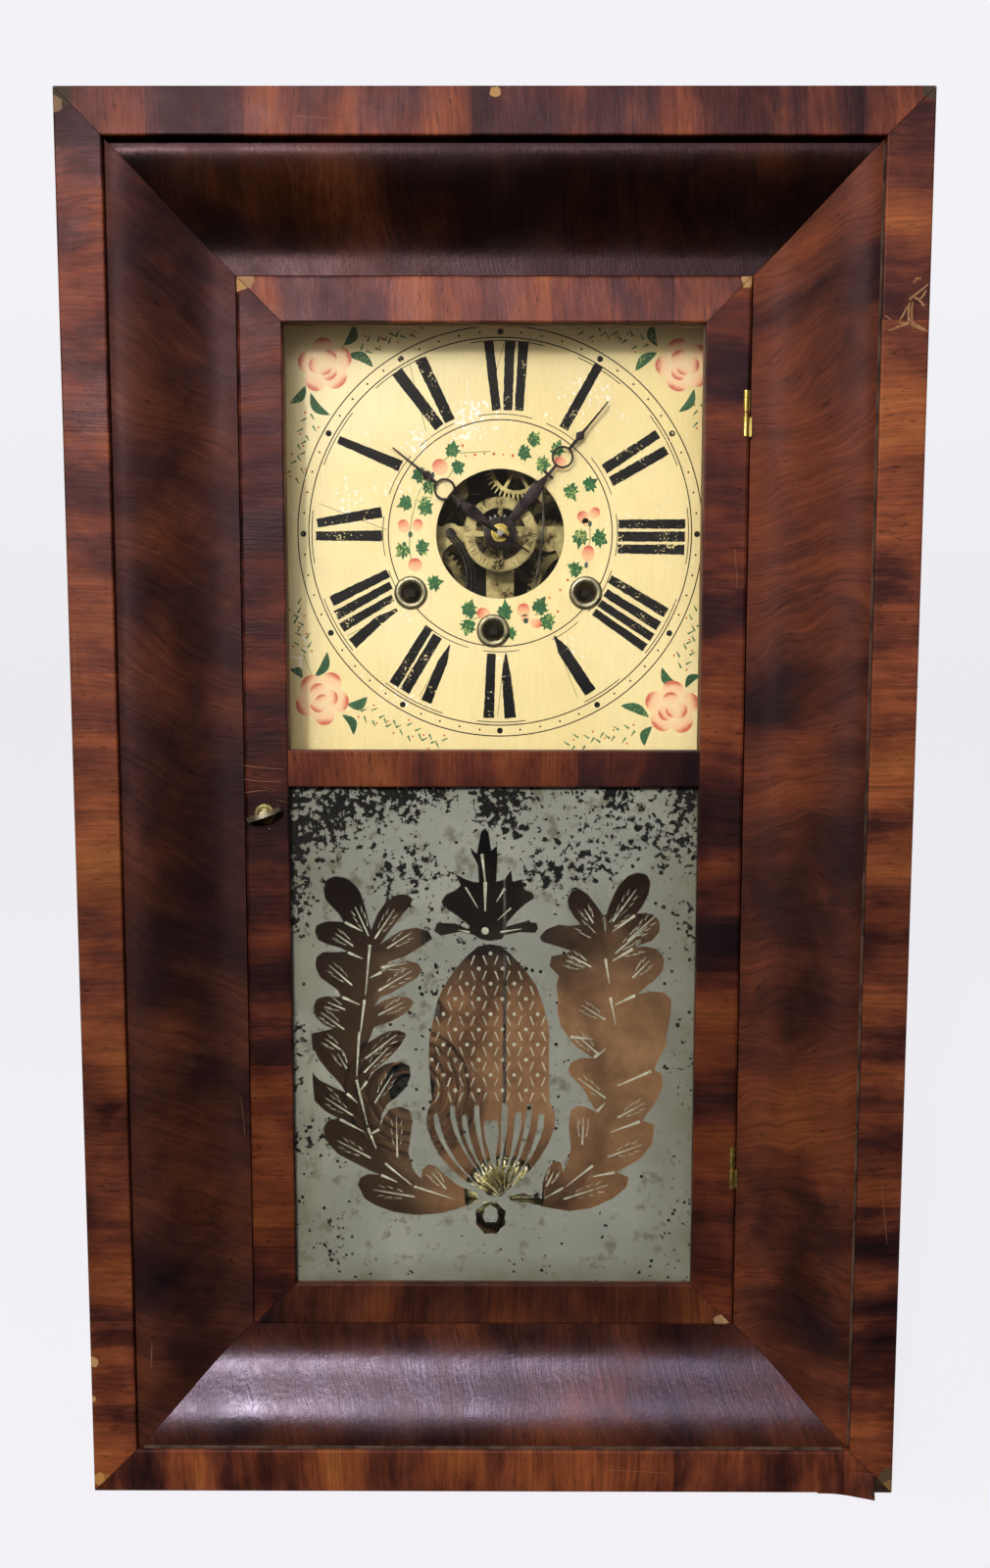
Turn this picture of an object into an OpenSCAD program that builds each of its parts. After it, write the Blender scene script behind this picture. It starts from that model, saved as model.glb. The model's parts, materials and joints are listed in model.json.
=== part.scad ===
// Ogee shelf clock: a weight-driven, hour-striking clock with an alarm.
// Frame: +Z up, the door looks along -Y, the origin is at the middle of the underside.

/* [Case] */
// Overall width of the case
case_w = 394; // [330:1:475]
// Overall height of the case
case_h = 664; // [600:1:800]
// Overall depth of the case
case_d = 114; // [110:1:137]
// Thickness of the side, top and bottom boards
board_t = 12; // [9:0.5:14]
// Thickness of the back board
back_t = 7; // [5:0.5:8.5]
// Thickness of the two boards that wall off the weight channels
channel_t = 10; // [8:0.5:12]

/* [Front frame] */
// Width of the flat outer band
band_w = 21.4; // [18:0.2:26]
// Thickness of the flat outer band, front to back
band_t = 14; // [10:0.5:16]
// Width of the ogee moulding
ogee_w = 54.2; // [45:0.2:66]
// Depth of the ogee's outer edge behind the band's face
ogee_outer_step = 2.4; // [2:0.2:6]
// Depth of the ogee's inner edge behind the band's face
ogee_inner_step = 22; // [16:0.5:26]
// Joint between the band and the ogee
band_joint = 0.2; // [0.1:0.1:0.6]
// Open shrinkage gap between the top band and the top ogee
top_gap = 2.2; // [0.2:0.1:4]

/* [Door] */
// Gap around the closed door
door_gap = 1; // [0.8:0.1:2]
// Depth of the door's face behind the band's face
door_step = 18; // [14:0.5:22]
// Thickness of the door frame
door_t = 19; // [17:0.5:22]
// Width of the door's stiles and of its top and bottom rails
stile_w = 21.2; // [18:0.2:26]
// Height of the middle rail
middle_rail_h = 17.6; // [14:0.2:22]
// Height of the lower glass that shows
lower_sight_h = 250.2; // [210:0.2:300]
// Thickness of the glass
glass_t = 2; // [1.5:0.1:2.4]
// Width of the rebate that holds the glass
rebate_w = 5; // [3:0.5:7]
// Depth of the door frame's lip in front of the glass
glass_lip = 3; // [2:0.5:13]
// Height of each hinge barrel
hinge_h = 21; // [17:0.5:26]
// Radius of the hinge barrels
barrel_r = 1.6; // [1.5:0.1:2]
// Radius of the hinge pins
hinge_pin_r = 0.8; // [0.6:0.1:1]
// Distance of the hinge axis from the door's edge
hinge_inset = 2; // [1.8:0.1:2.4]
// Height of the latch above the base
latch_z = 335; // [280:1:400]
// Radius of the latch's rose
rose_r = 5.3; // [4.5:0.1:6.5]
// Length of the latch's thumb piece
thumb_l = 17; // [13:0.5:20]

/* [Dial and hands] */
// How far the dial's centre lies right of the middle of the case
dial_shift = 3; // [0:0.5:4]
// How far the dial's centre lies above the middle of the upper glass
dial_rise = 5.3; // [0:0.1:10]
// Depth of the dial's face behind the band's face
dial_step = 45; // [44:0.5:47]
// Thickness of the dial plate
dial_t = 2; // [1:0.1:2.5]
// Radius of the opening in the middle of the dial
dial_hole_r = 31.7; // [26:0.1:38]
// Radius of the hole in each grommet
grommet_r = 5; // [4.2:0.1:6]
// Length of the minute hand, centre to tip
minute_l = 82; // [68:0.5:92]
// Length of the hour hand, centre to tip
hour_l = 67; // [56:0.5:76]
// Angle of the minute hand, clockwise from the top
minute_angle = 39.7; // [0:0.1:360]
// Angle of the hour hand, clockwise from the top
hour_angle = 308.2; // [0:0.1:360]
// Radius of the alarm disc
alarm_disc_r = 18.2; // [15:0.1:22]

/* [Movement] */
// Width of the movement plates
plate_w = 152; // [148:1:180]
// Height of the movement plates
plate_h = 124; // [122:1:136]
// Thickness of the movement plates
plate_t = 2; // [1.6:0.1:2.4]
// Room between the movement plates
plate_room = 32; // [32:0.5:34]
// Radius of the cord drums
drum_r = 15; // [12:0.1:15.5]
// Diameter of the weight cords
cord_d = 1.8; // [1.2:0.1:2.2]
// Length of the pendulum, pivot to the middle of the bob
pendulum_l = 302; // [260:0.1:320]
// Radius of the pendulum bob
bob_r = 21; // [17:0.5:25]

/* [Weights and gong] */
// Radius of the iron weights
weight_r = 21; // [17:0.5:24]
// Height of the iron weights
weight_h = 115; // [95:1:138]
// Radius of the cord pulleys
pulley_r = 15; // [12:0.5:17]
// Outer radius of the gong coil
gong_r = 40; // [36:1:48]
// Turns of the gong coil
gong_turns = 5; // [3:1:6]

/* [Hidden] */
$fn = 48;

// ---- clearances ----
run_gap = 0.05;          // running fit of a shaft in its hole
seat_gap = 0.3;          // between soft or curved faces that only rest on each other
side_gap = 0.5;          // beside a moving wheel

// ---- depths, front to back ----
front_y = -case_d / 2;
back_y = case_d / 2;
band_back = front_y + band_t;
door_y = front_y + door_step;
door_back = door_y + door_t;
frame_back = door_back + seat_gap;
glass_y = door_y + glass_lip + glass_t;
dial_y = front_y + dial_step;
dial_back = dial_y + dial_t;
plate_y = dial_back + 14;
plate_in = plate_y + plate_t;
plate_back = plate_in + plate_room;
plate_end = plate_back + plate_t;
board_face = back_y - back_t;

// ---- widths and heights ----
inner_w = case_w - 2 * board_t;
ogee_in = band_w + band_joint + ogee_w;
door_margin = ogee_in + door_gap;
door_w = case_w - 2 * door_margin;
door_h = case_h - 2 * door_margin;
sight = door_margin + stile_w;
sight_w = case_w - 2 * sight;
rail_z = sight + lower_sight_h;
upper_z = rail_z + middle_rail_h;
upper_h = case_h - sight - upper_z;
channel_x = door_w / 2 - 6;
cx = dial_shift;
cz = upper_z + upper_h / 2 + dial_rise;
dial_w = 2 * (channel_x - seat_gap);
dial_z0 = upper_z - 5;
dial_z1 = case_h - sight + 17;
rail_h = 16;
rail_d = 12;

// ---- arbor places, from the dial's centre: [right, up] ----
wind_time = [42.4, -28.8];
wind_strike = [-44.2, -28.8];
wind_alarm = [-3.4, -47.5];
centre = [0, 0];
great_teeth = 56;       // teeth of each great wheel
wheel_teeth = 54;       // teeth of the second and strike wheels
third_teeth = 55;
great_m = 1;
wheel_m = 0.8;
third_m = 0.65;
centre_m = 0.82;
motion_m = 0.46;
hour_m = motion_m * 24 / 25;
great_pinion = 8;
wheel_pinion = 6;
centre_teeth = 30;
cannon_teeth = 12;
minute_teeth = 36;
minute_pinion = 10;
hour_teeth = 40;
escape_teeth = 40;
strike_pins = 8;
strike_pin_r = 16;
escape_r = 16.5;
function span(a, b, m) = m * (a + b) / 2;
// The point at distance ra from a and rb from b, on the left of the way from a to b for side 1
function meet(a, ra, b, rb, side) =
    let (d = norm(b - a), e = (b - a) / d,
         t = (ra * ra - rb * rb + d * d) / (2 * d), h = sqrt(ra * ra - t * t))
    a + t * e + side * h * [-e[1], e[0]];
function polar(c, r, a) = c + r * [cos(a), sin(a)];
function heading(a, b) = atan2(b[1] - a[1], b[0] - a[0]);
escape_c = [8, 34];
second_c = meet(wind_time, span(great_teeth, great_pinion, great_m), centre,
                span(centre_teeth, centre_teeth, centre_m), -1);
third_c = meet(second_c, span(wheel_teeth, wheel_pinion, wheel_m), escape_c,
               span(third_teeth, wheel_pinion, third_m), -1);
strike_c = polar(wind_strike, span(great_teeth, great_pinion, great_m), 70);
fly_c = polar(strike_c, span(wheel_teeth, wheel_pinion, wheel_m), 60);
hammer_c = polar(strike_c, 27.5, 160);
minute_c = polar(centre, span(cannon_teeth, minute_teeth, motion_m), 270);
verge_c = escape_c + [0, escape_r + 5];
lever_c = [-25, 2];
pivot_c = [2.6, -38];

// ---- planes of the wheels ----
great_y = plate_in + 2.2;
great_t = 2;
drum_y = great_y + great_t + 1.8;
drum_w = 16;
centre_gear_y = plate_in + 10;
third_y = plate_in + 18;
second_y = plate_back - 5;
wheel_t = 1.5;
hour_wheel_y = plate_y - 3.5;
minute_wheel_y = plate_y - 2;
motion_t = 1;
escape_y = plate_y - 3.5;
disc_y = dial_y - 0.5;
hour_hand_y = disc_y - 1.8;
minute_hand_y = hour_hand_y - 2;
hand_t = 0.8;
washer_y = minute_hand_y - 1;
pin_y = washer_y - 1.1;
arbor_tip_y = pin_y - 1.3;
arbor_r = 1.5;
pipe_wall = 0.6;
pipe_r = arbor_r + run_gap + pipe_wall;
hour_pipe_r = pipe_r + run_gap + pipe_wall + 0.2;
pivot_r = 0.9;
staff_r = 1.3;
wind_r = 3;

// ---- pendulum, weights and cords ----
pendulum_y = dial_back + 4.5;
rod_r = 0.8;
spring_l = 9;
bob_half = 6;
bob_curve = (bob_r * bob_r + bob_half * bob_half) / (2 * bob_half);
crutch_v = -80;
cord_r = cord_d / 2;
cord_gap = 0.4;
cord_rd = drum_r + cord_r + cord_gap;
cord_y = drum_y + drum_w / 2;
drop_x = (channel_x + channel_t + inner_w / 2) / 2;
weight_z = board_t + 3;
hook_h = 10;
loop_r = 4;
loop_wire = 1.2;
loop_top = weight_z + weight_h + hook_h + loop_r + loop_wire;
pulley_z = case_h - board_t - 27;
pulley_x = drop_x - pulley_r - cord_r - cord_gap;
pulley_rim = 2.5;
pulley_w = 7;
cord_rp = pulley_r + cord_r + cord_gap;
axle_r = 1.5;
channel_top = min(cord_height(1, wind_time), cord_height(-1, wind_strike)) - 13;

// ---- gong ----
gong_x = cx - 50;   // hung to the left of the pendulum
gong_z = 172;
gong_y = plate_end - 2;
hammer_y = plate_end + 3.6;
strip_t = 1.6;
strip_w = 3;
gong_hub = 8;

// ---- colours ----
mahogany = "#4a241a";
ogee_brown = "#3a1f19";
pine = "#b08a5a";
brass = "#b59a50";
steel = "#5c5c60";
blued = "#2a2526";
iron = "#3c3a39";
cream = "#ebcb7d";
cord_tan = "#a08a62";

// ---- shapes that repeat ----
// A flat shape drawn in X and Z, standing from y0 to y1
module slab(y0, y1) {
    rotate([90, 0, 0])
        translate([0, 0, -y1])
            linear_extrude(y1 - y0)
                children();
}

// A round rod along Y
module rod(r, y0, y1) {
    translate([0, y1, 0])
        rotate([90, 0, 0])
            cylinder(r = r, h = y1 - y0);
}

// Puts children at a point of the movement
module at(p) {
    translate([cx + p[0], 0, cz + p[1]])
        children();
}

// Puts children on the left and on the right
module both_sides() {
    for (side = [0, 1])
        mirror([side, 0, 0])
            children();
}

module bar2d(a, b, w) {
    translate(a)
        rotate(heading(a, b))
            translate([0, -w / 2])
                square([norm(b - a), w]);
}

// Outline of one tooth: [modules out from the pitch circle, share of the pitch]
tooth = [[-1.2, -0.22], [0, -0.19], [0.8, -0.08], [0.8, 0.08], [0, 0.19], [-1.2, 0.22]];
// Outline of a toothed wheel with one tooth at the angle dir
module teeth2d(n, m, dir) {
    pitch = 360 / n;
    r = m * n / 2;
    polygon([for (i = [0:n - 1], p = tooth)
             polar([0, 0], r + p[0] * m, dir + (i + p[1]) * pitch)]);
}

// A crossed-out wheel: toothed rim, four arms and a hub
module wheel2d(n, m, dir, rim, hub) {
    inner = m * n / 2 - 1.2 * m - rim;
    difference() {
        teeth2d(n, m, dir);
        difference() {
            circle(r = inner);
            circle(r = hub);
            for (a = [0, 90])
                rotate(a + dir)
                    square([2 * inner, 2], center = true);
        }
    }
}

// A lantern pinion whose wheel lies in the direction dir, running on a wheel from y to y + t
module lantern(n, m, dir, y, t) {
    r = m * n / 2;
    wire = 0.17 * PI * m;
    shroud = r + wire + 0.5;
    for (k = [0:n - 1])
        rotate([0, -dir - (k + 0.5) * 360 / n, 0])
            translate([r, 0, 0])
                rod(wire, y - 1, y + t + 1, $fn = 16);
    rod(shroud, y - 1.6, y - 0.8);
    rod(shroud, y + t + 0.8, y + t + 1.6);
}

// An arbor between the plates with a pivot at each end
module staff() {
    rod(staff_r, plate_in + side_gap, plate_back - side_gap);
    rod(pivot_r, plate_y, plate_end);
}

function unit(v) = v / norm(v);
// A tube along points that run square to the reference direction, one ring at each point
module tube(points, r, sides, ref) {
    last = len(points) - 1;
    rings = [for (i = [0:last])
        let (t = unit(points[min(i + 1, last)] - points[max(i - 1, 0)]),
             a = unit(cross(t, ref)), b = cross(a, t))
        for (k = [0:sides - 1])
            points[i] + r * (a * cos(k * 360 / sides) + b * sin(k * 360 / sides))];
    walls = [for (i = [0:last - 1], k = [0:sides - 1])
        let (n = (k + 1) % sides, p = i * sides)
        [p + k, p + n, p + n + sides, p + k + sides]];
    ends = [[for (k = [sides - 1:-1:0]) k], [for (k = [0:sides - 1]) last * sides + k]];
    polyhedron(points = rings, faces = concat(walls, ends));
}

// A bent wire through points of the movement, [right, up], at the depth y
module wire(points, y, r) {
    tube([for (p = points) [p[0], y, p[1]]], r, 8, [0, 1, 0]);
}

// ---- case ----
module case_boards() color(mahogany) {
    both_sides()
        translate([inner_w / 2, band_back, 0])
            cube([board_t, back_y - band_back, case_h]);
    for (z = [0, case_h - board_t])
        translate([-inner_w / 2, band_back, z])
            cube([inner_w, back_y - band_back, board_t]);
}

module back_board() color(pine)
    translate([-inner_w / 2, board_face, board_t])
        cube([inner_w, back_t, case_h - 2 * board_t]);

// One mitred strip along Z: margins from the outer edge and the run's full length
module mitre2d(outer, inner, run) {
    polygon([[outer, outer], [inner, inner], [inner, run - inner], [outer, run - outer]]);
}

// Lays a strip that is drawn along the left side on all four sides in turn
module on_side(side) {
    if (side == "left")
        translate([-case_w / 2, 0, 0])
            children();
    if (side == "right")
        translate([case_w / 2, 0, 0])
            mirror([1, 0, 0])
                children();
    if (side == "bottom")
        translate([-case_w / 2, 0, 0])
            mirror([1, 0, -1])
                children();
    if (side == "top")
        translate([-case_w / 2, 0, case_h])
            mirror([0, 0, 1])
                mirror([1, 0, -1])
                    children();
}

module outer_band() color(mahogany) {
    for (side = ["left", "right"])
        on_side(side)
            slab(front_y, band_back)
                mitre2d(0, band_w, case_h);
    for (side = ["bottom", "top"])
        on_side(side)
            slab(front_y, band_back)
                mitre2d(0, band_w, case_w);
}

// Depth of the ogee's face behind the band's face, u from 0 at the outer edge to 1 at the inner one
ogee_start = 0.05;
ogee_crest = 0.12;
ogee_roll = 0.7;
function ogee_depth(u) =
    let (t = min(max((u - ogee_start) / 0.83, 0), 1), edge = max(1 - u / ogee_crest, 0))
    ogee_outer_step + (ogee_inner_step - ogee_outer_step) * (1 - cos(180 * t)) / 2 + ogee_roll * edge * edge;

module ogee_run(run, cut) {
    steps = 18;
    outer = band_w + band_joint;
    first = cut / ogee_w;
    face = [for (i = [0:steps]) let (u = first + (1 - first) * i / steps)
            [outer + u * ogee_w, front_y + ogee_depth(u)]];
    back = [[ogee_in, frame_back], [board_t, frame_back], [board_t, band_back], [outer + cut, band_back]];
    intersection() {
        linear_extrude(run)
            polygon(concat(face, back));
        slab(front_y, frame_back + 1)
            mitre2d(board_t - 1, ogee_in + 1, run);
    }
}

module ogee_left() color(ogee_brown) on_side("left") ogee_run(case_h, 0);
module ogee_right() color(ogee_brown) on_side("right") ogee_run(case_h, 0);
module ogee_bottom() color(ogee_brown) on_side("bottom") ogee_run(case_w, 0);
module ogee_top() color(ogee_brown) on_side("top") ogee_run(case_w, top_gap);

module channel_boards() color(pine)
    difference() {
        both_sides()
            translate([channel_x, frame_back, board_t])
                cube([channel_t, board_face - frame_back, channel_top - board_t]);
        // mortise for the latch's tongue
        translate([-channel_x - 7.5, tongue_y - 0.7, latch_z - 10])
            cube([8, tongue_t + 1.4, 20]);
    }

// Two rails that carry the movement and four blocks that carry the dial
module mounting_cleats() color(pine) {
    for (z = [cz + plate_h / 2, cz - plate_h / 2 - rail_h])
        translate([-channel_x, plate_in, z])
            cube([2 * channel_x, rail_d, rail_h]);
    both_sides()
        for (z = [dial_z0 + 10, dial_z1 - 34])
            translate([channel_x - 18, dial_back, z])
                cube([18, rail_d, 24]);
}

// ---- dial ----
module dial_plate() color(cream)
    slab(dial_y, dial_back)
        difference() {
            translate([-dial_w / 2, dial_z0])
                square([dial_w, dial_z1 - dial_z0]);
            translate([cx, cz]) {
                circle(r = dial_hole_r, $fn = 96);
                for (p = [wind_time, wind_strike, wind_alarm])
                    translate(p)
                        circle(r = grommet_r + 1);
            }
        }

module dial_grommets() color(brass)
    for (p = [wind_time, wind_strike, wind_alarm])
        at(p)
            difference() {
                union() {
                    rod(grommet_r + 3.1, dial_y - 1.2, dial_y);
                    rod(grommet_r + 0.95, dial_y - 0.6, dial_back + 1);
                }
                rod(grommet_r, dial_y - 2, dial_back + 2);
            }

// ---- movement frame ----
pillar_places = [[50, 56], [-50, 56], [70, -56], [-70, -56]];
staff_places = [second_c, third_c, strike_c, fly_c, hammer_c];

// The cut-away plate: a frame, bars and a boss at each pivot
plate_rim = 9;
window_u = 30;      // inner edge of the upright bars beside the middle
window_v = -2.4;    // lower edge of the crosswise bar
window_r = 10;
module plate2d() {
    w = plate_w / 2;
    h = plate_h / 2;
    difference() {
        square([plate_w, plate_h], center = true);
        square([plate_w - 2 * plate_rim, plate_h - 2 * plate_rim], center = true);
    }
    translate([-w, window_v])
        square([plate_w, 7.8]);
    bar2d([0, 0], [0, -h], 14);
    for (side = [0, 1])
        mirror([side, 0]) {
            translate([window_u, -h])
                square([8, h + window_v + 1]);
            // rounded upper corner of the window
            translate([window_u - window_r, window_v - window_r])
                difference() {
                    square(window_r + 0.5);
                    circle(r = window_r);
                }
        }
    bar2d([0, 0], second_c, 9);
    bar2d(third_c, [w - 2, third_c[1]], 8);
    bar2d(escape_c, [escape_c[0], h], 8);
    bar2d(fly_c, [fly_c[0], h], 8);
    bar2d(strike_c, [strike_c[0], -h], 8);
    bar2d(hammer_c, [-w + 2, hammer_c[1]], 8);
    for (p = concat(staff_places, [escape_c, minute_c, lever_c]))
        translate(p)
            circle(r = 5);
    for (p = concat([wind_time, wind_strike, wind_alarm], pillar_places))
        translate(p)
            circle(r = 8);
}

module plate_holes2d() {
    for (p = concat(staff_places, [escape_c]))
        translate(p)
            circle(r = pivot_r + run_gap, $fn = 24);
    for (p = [wind_time, wind_strike, wind_alarm])
        translate(p)
            circle(r = wind_r + run_gap);
    for (p = pillar_places)
        translate(p)
            circle(r = 1.8 + run_gap, $fn = 24);
}

module front_plate() color(brass)
    at(centre)
        slab(plate_y, plate_in)
            difference() {
                union() {
                    plate2d();
                    for (x = [-56, 56], z = [-plate_h / 2 - 9, plate_h / 2 - 1])
                        translate([x - 6, z])
                            square([12, 10]);
                }
                plate_holes2d();
                circle(r = arbor_r + run_gap);
            }

module back_plate() color(brass)
    at(centre)
        slab(plate_back, plate_end)
            difference() {
                plate2d();
                plate_holes2d();
                circle(r = pivot_r + run_gap, $fn = 24);
            }

module plate_pillars() color(brass)
    for (p = pillar_places)
        at(p) {
            rod(3, plate_in, plate_back);
            rod(1.8, plate_y - 1, plate_end + 1);
        }

// The post on the front plate whose slit holds the pendulum's spring
module suspension_post() color(brass)
    at(pivot_c + [0, 2])
        difference() {
            rod(2.4, pendulum_y - 3, plate_y);
            translate([-0.8, pendulum_y - 2.2, -3])
                cube([1.6, 4.4, 6]);
        }

// ---- gong ----
gong_steps = 24;
gong_pitch = (gong_r - gong_hub - strip_t) / gong_turns;
gong_gap = gong_pitch - strip_t;
echo(least_gap_between_gong_turns = gong_gap);
function spiral(r0) = [for (i = [0:gong_steps * gong_turns])
    polar([0, 0], r0 + gong_pitch * i / gong_steps, i * 360 / gong_steps)];

module gong_coil() color(steel)
    translate([gong_x, 0, gong_z])
        slab(gong_y, gong_y + strip_w)
            polygon(concat(spiral(gong_hub), [for (i = [gong_steps * gong_turns:-1:0])
                    spiral(gong_hub + strip_t)[i]]));

module gong_base() color(iron)
    translate([gong_x, 0, gong_z]) {
        rod(gong_hub - 0.4, gong_y - 1, board_face - 3);
        rod(14, board_face - 4, board_face);
        // the clamp that grips the coil's inner end
        translate([gong_hub - 3, gong_y + strip_w, -3])
            cube([6, 3, 6]);
    }

// ---- pulleys ----
module pulley_brackets() color(iron)
    both_sides()
        translate([pulley_x, 0, 0]) {
            for (y = [cord_y - pulley_w / 2 - 2.5, cord_y + pulley_w / 2 + 0.5])
                translate([-6, y, pulley_z - 6])
                    cube([12, 2, case_h - board_t - pulley_z + 6]);
            translate([0, 0, pulley_z])
                rod(axle_r, cord_y - pulley_w / 2 - 3.5, cord_y + pulley_w / 2 + 3.5);
        }

module pulley(side)
    translate([side * pulley_x, cord_y, pulley_z])
        rotate([90, 0, 0])
            rotate_extrude($fn = 72)
                difference() {
                    translate([axle_r + run_gap, -pulley_w / 2])
                        square([pulley_r + pulley_rim - axle_r - run_gap, pulley_w]);
                    polygon([[pulley_r, -1.4], [pulley_r, 1.4], [pulley_r + pulley_rim + 1, 2.9],
                             [pulley_r + pulley_rim + 1, -2.9]]);
                }

module pulley_time() color(brass) pulley(1);
module pulley_strike() color(brass) pulley(-1);

// ---- cords ----
// Route of one cord from its drum, over its pulley, to the top of its drop; side is 1 right, -1 left
wrap_turns = 1.5;
wrap_steps = 20;
wrap_pitch = 1.4 * cord_d;
over_steps = 8;
lead = 2;
function cord_route(side, drum) =
    let (d0 = [cx, cz] + drum, p0 = [side * pulley_x, pulley_z], a = cord_angle(side, drum),
         n = wrap_turns * wrap_steps, arc = (side > 0 ? 0 : 180) - a)
    concat([for (i = [0:n]) let (q = polar(d0, cord_rd, a - side * (i - n) * 360 / wrap_steps))
                [q[0], cord_y + (n - i) * wrap_pitch / wrap_steps, q[1]]],
           [for (i = [0:over_steps]) let (q = polar(p0, cord_rp, a + i / over_steps * arc))
                [q[0], cord_y, q[1]]],
           [[side * drop_x, cord_y, pulley_z - lead]]);
// Direction from the drum's centre to the point where the cord leaves it
function cord_angle(side, drum) =
    let (d0 = [cx, cz] + drum, p0 = [side * pulley_x, pulley_z])
    heading(d0, p0) + side * acos((cord_rd - cord_rp) / norm(p0 - d0));
// Height of the cord's straight stretch where it crosses the inner face of the weight channel
function cord_height(side, drum) =
    let (a = cord_angle(side, drum), from = polar([cx, cz] + drum, cord_rd, a),
         to = polar([side * pulley_x, pulley_z], cord_rp, a))
    from[1] + (side * channel_x - from[0]) * (to[1] - from[1]) / (to[0] - from[0]);

module cord_runs() color(cord_tan) {
    tube(cord_route(1, wind_time), cord_r, 8, [0, 1, 0]);
    tube(cord_route(-1, wind_strike), cord_r, 8, [0, 1, 0]);
}

module cord_drop(side)
    translate([side * drop_x, cord_y, loop_top + seat_gap])
        cylinder(r = cord_r, h = pulley_z - lead - loop_top - seat_gap);

module cord_drop_time() color(cord_tan) cord_drop(1);
module cord_drop_strike() color(cord_tan) cord_drop(-1);

// ---- weights ----
module weight(side)
    translate([side * drop_x, cord_y, weight_z]) {
        cylinder(r = weight_r, h = weight_h);
        translate([0, 0, weight_h])
            cylinder(r1 = weight_r, r2 = weight_r / 3, h = 4);
        cylinder(r = 1.6, h = weight_h + hook_h - loop_r + loop_wire / 2);
        // wire loop that the cord is tied to
        translate([0, 0, weight_h + hook_h])
            rotate([90, 0, 0])
                rotate_extrude($fn = 32)
                    translate([loop_r, 0])
                        circle(r = loop_wire, $fn = 16);
    }

module weight_time() color(iron) weight(1);
module weight_strike() color(iron) weight(-1);

// ---- door ----
hinge_x = door_w / 2 - hinge_inset;
leaf_seat = 0.7;
hinge_y = door_y + 1;
hinge_places = [case_h * 0.79, case_h * 0.239];
tongue_y = door_back + 1;
tongue_t = 2;
latch_x = -door_w / 2 + 9.6;
spindle_r = 2;

module door_stiles() color(mahogany)
    difference() {
        both_sides()
            translate([sight_w / 2, 0, door_margin])
                difference() {
                    translate([0, door_y, 0])
                        cube([stile_w, door_t, door_h]);
                    translate([-1, glass_y - glass_t, stile_w - rebate_w])
                        cube([rebate_w + 1, door_t, door_h - 2 * (stile_w - rebate_w)]);
                }
        // seats for the hinge barrels
        for (z = hinge_places)
            translate([hinge_x, hinge_y, z - hinge_h / 2 - side_gap])
                cylinder(r = barrel_r + 0.4, h = hinge_h + 2 * side_gap);
        for (z = hinge_places)
            translate([door_w / 2 - leaf_seat, door_y - 1, z - hinge_h / 2 - side_gap])
                cube([2, leaf_d + 4, hinge_h + 2 * side_gap]);
        translate([latch_x, 0, latch_z])
            rod(spindle_r + run_gap, door_y - 1, door_back + 1);
    }

// A rail of height h whose glass rebates lie along its top and its bottom, as asked
module rail(z, h, rebate_low, rebate_high)
    difference() {
        translate([-sight_w / 2, door_y, z])
            cube([sight_w, door_t, h]);
        if (rebate_low)
            translate([-sight_w / 2 - 1, glass_y - glass_t, z - 1])
                cube([sight_w + 2, door_t, rebate_w + 1]);
        if (rebate_high)
            translate([-sight_w / 2 - 1, glass_y - glass_t, z + h - rebate_w])
                cube([sight_w + 2, door_t, rebate_w + 1]);
    }

module door_end_rails() color(mahogany) {
    rail(door_margin, stile_w, false, true);
    rail(case_h - door_margin - stile_w, stile_w, true, false);
}

module door_middle_rail() color(mahogany) rail(rail_z, middle_rail_h, true, true);

module pane(z, h)
    translate([-sight_w / 2 - rebate_w + 0.2, glass_y - glass_t, z - rebate_w + 0.2])
        cube([sight_w + 2 * rebate_w - 0.4, glass_t, h + 2 * rebate_w - 0.4]);

module upper_glass() color("#dfe8e8", 0.35) pane(upper_z, upper_h);
module tablet_glass() color("#828a82") pane(sight, lower_sight_h);

// Strips that hold each pane in its rebate
module bead(z, h)
    slab(glass_y, glass_y + min(5, door_back - 0.6 - glass_y))
        difference() {
            translate([-sight_w / 2 - rebate_w + 0.2, z - rebate_w + 0.2])
                square([sight_w + 2 * rebate_w - 0.4, h + 2 * rebate_w - 0.4]);
            translate([-sight_w / 2, z])
                square([sight_w, h]);
        }

module glass_beads() color(pine) {
    bead(upper_z, upper_h);
    bead(sight, lower_sight_h);
}

// ---- hinges ----
// Lift-off hinges: the door's knuckle turns on the pin above the case's knuckle
leaf_t = 0.5;
leaf_d = 13;
knuckle = 0.43 * hinge_h;
collar_top = knuckle - hinge_h / 2 + 0.11 * hinge_h;

module hinge_case_leaves() color(brass)
    for (z = hinge_places)
        translate([hinge_x, hinge_y, z - hinge_h / 2]) {
            cylinder(r = barrel_r, h = knuckle);
            cylinder(r = (barrel_r + hinge_pin_r) / 2, h = collar_top + hinge_h / 2);
            cylinder(r = hinge_pin_r, h = hinge_h - 0.5);
            // the knuckle's tail and the leaf on the frame's inner edge
            translate([barrel_r - 0.6, 0.1, 0])
                cube([hinge_inset - barrel_r + 0.6 + door_gap, 0.8, knuckle]);
            translate([hinge_inset + door_gap - leaf_t, 0.1, 0])
                cube([leaf_t, leaf_d + 1, knuckle]);
        }

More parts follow.
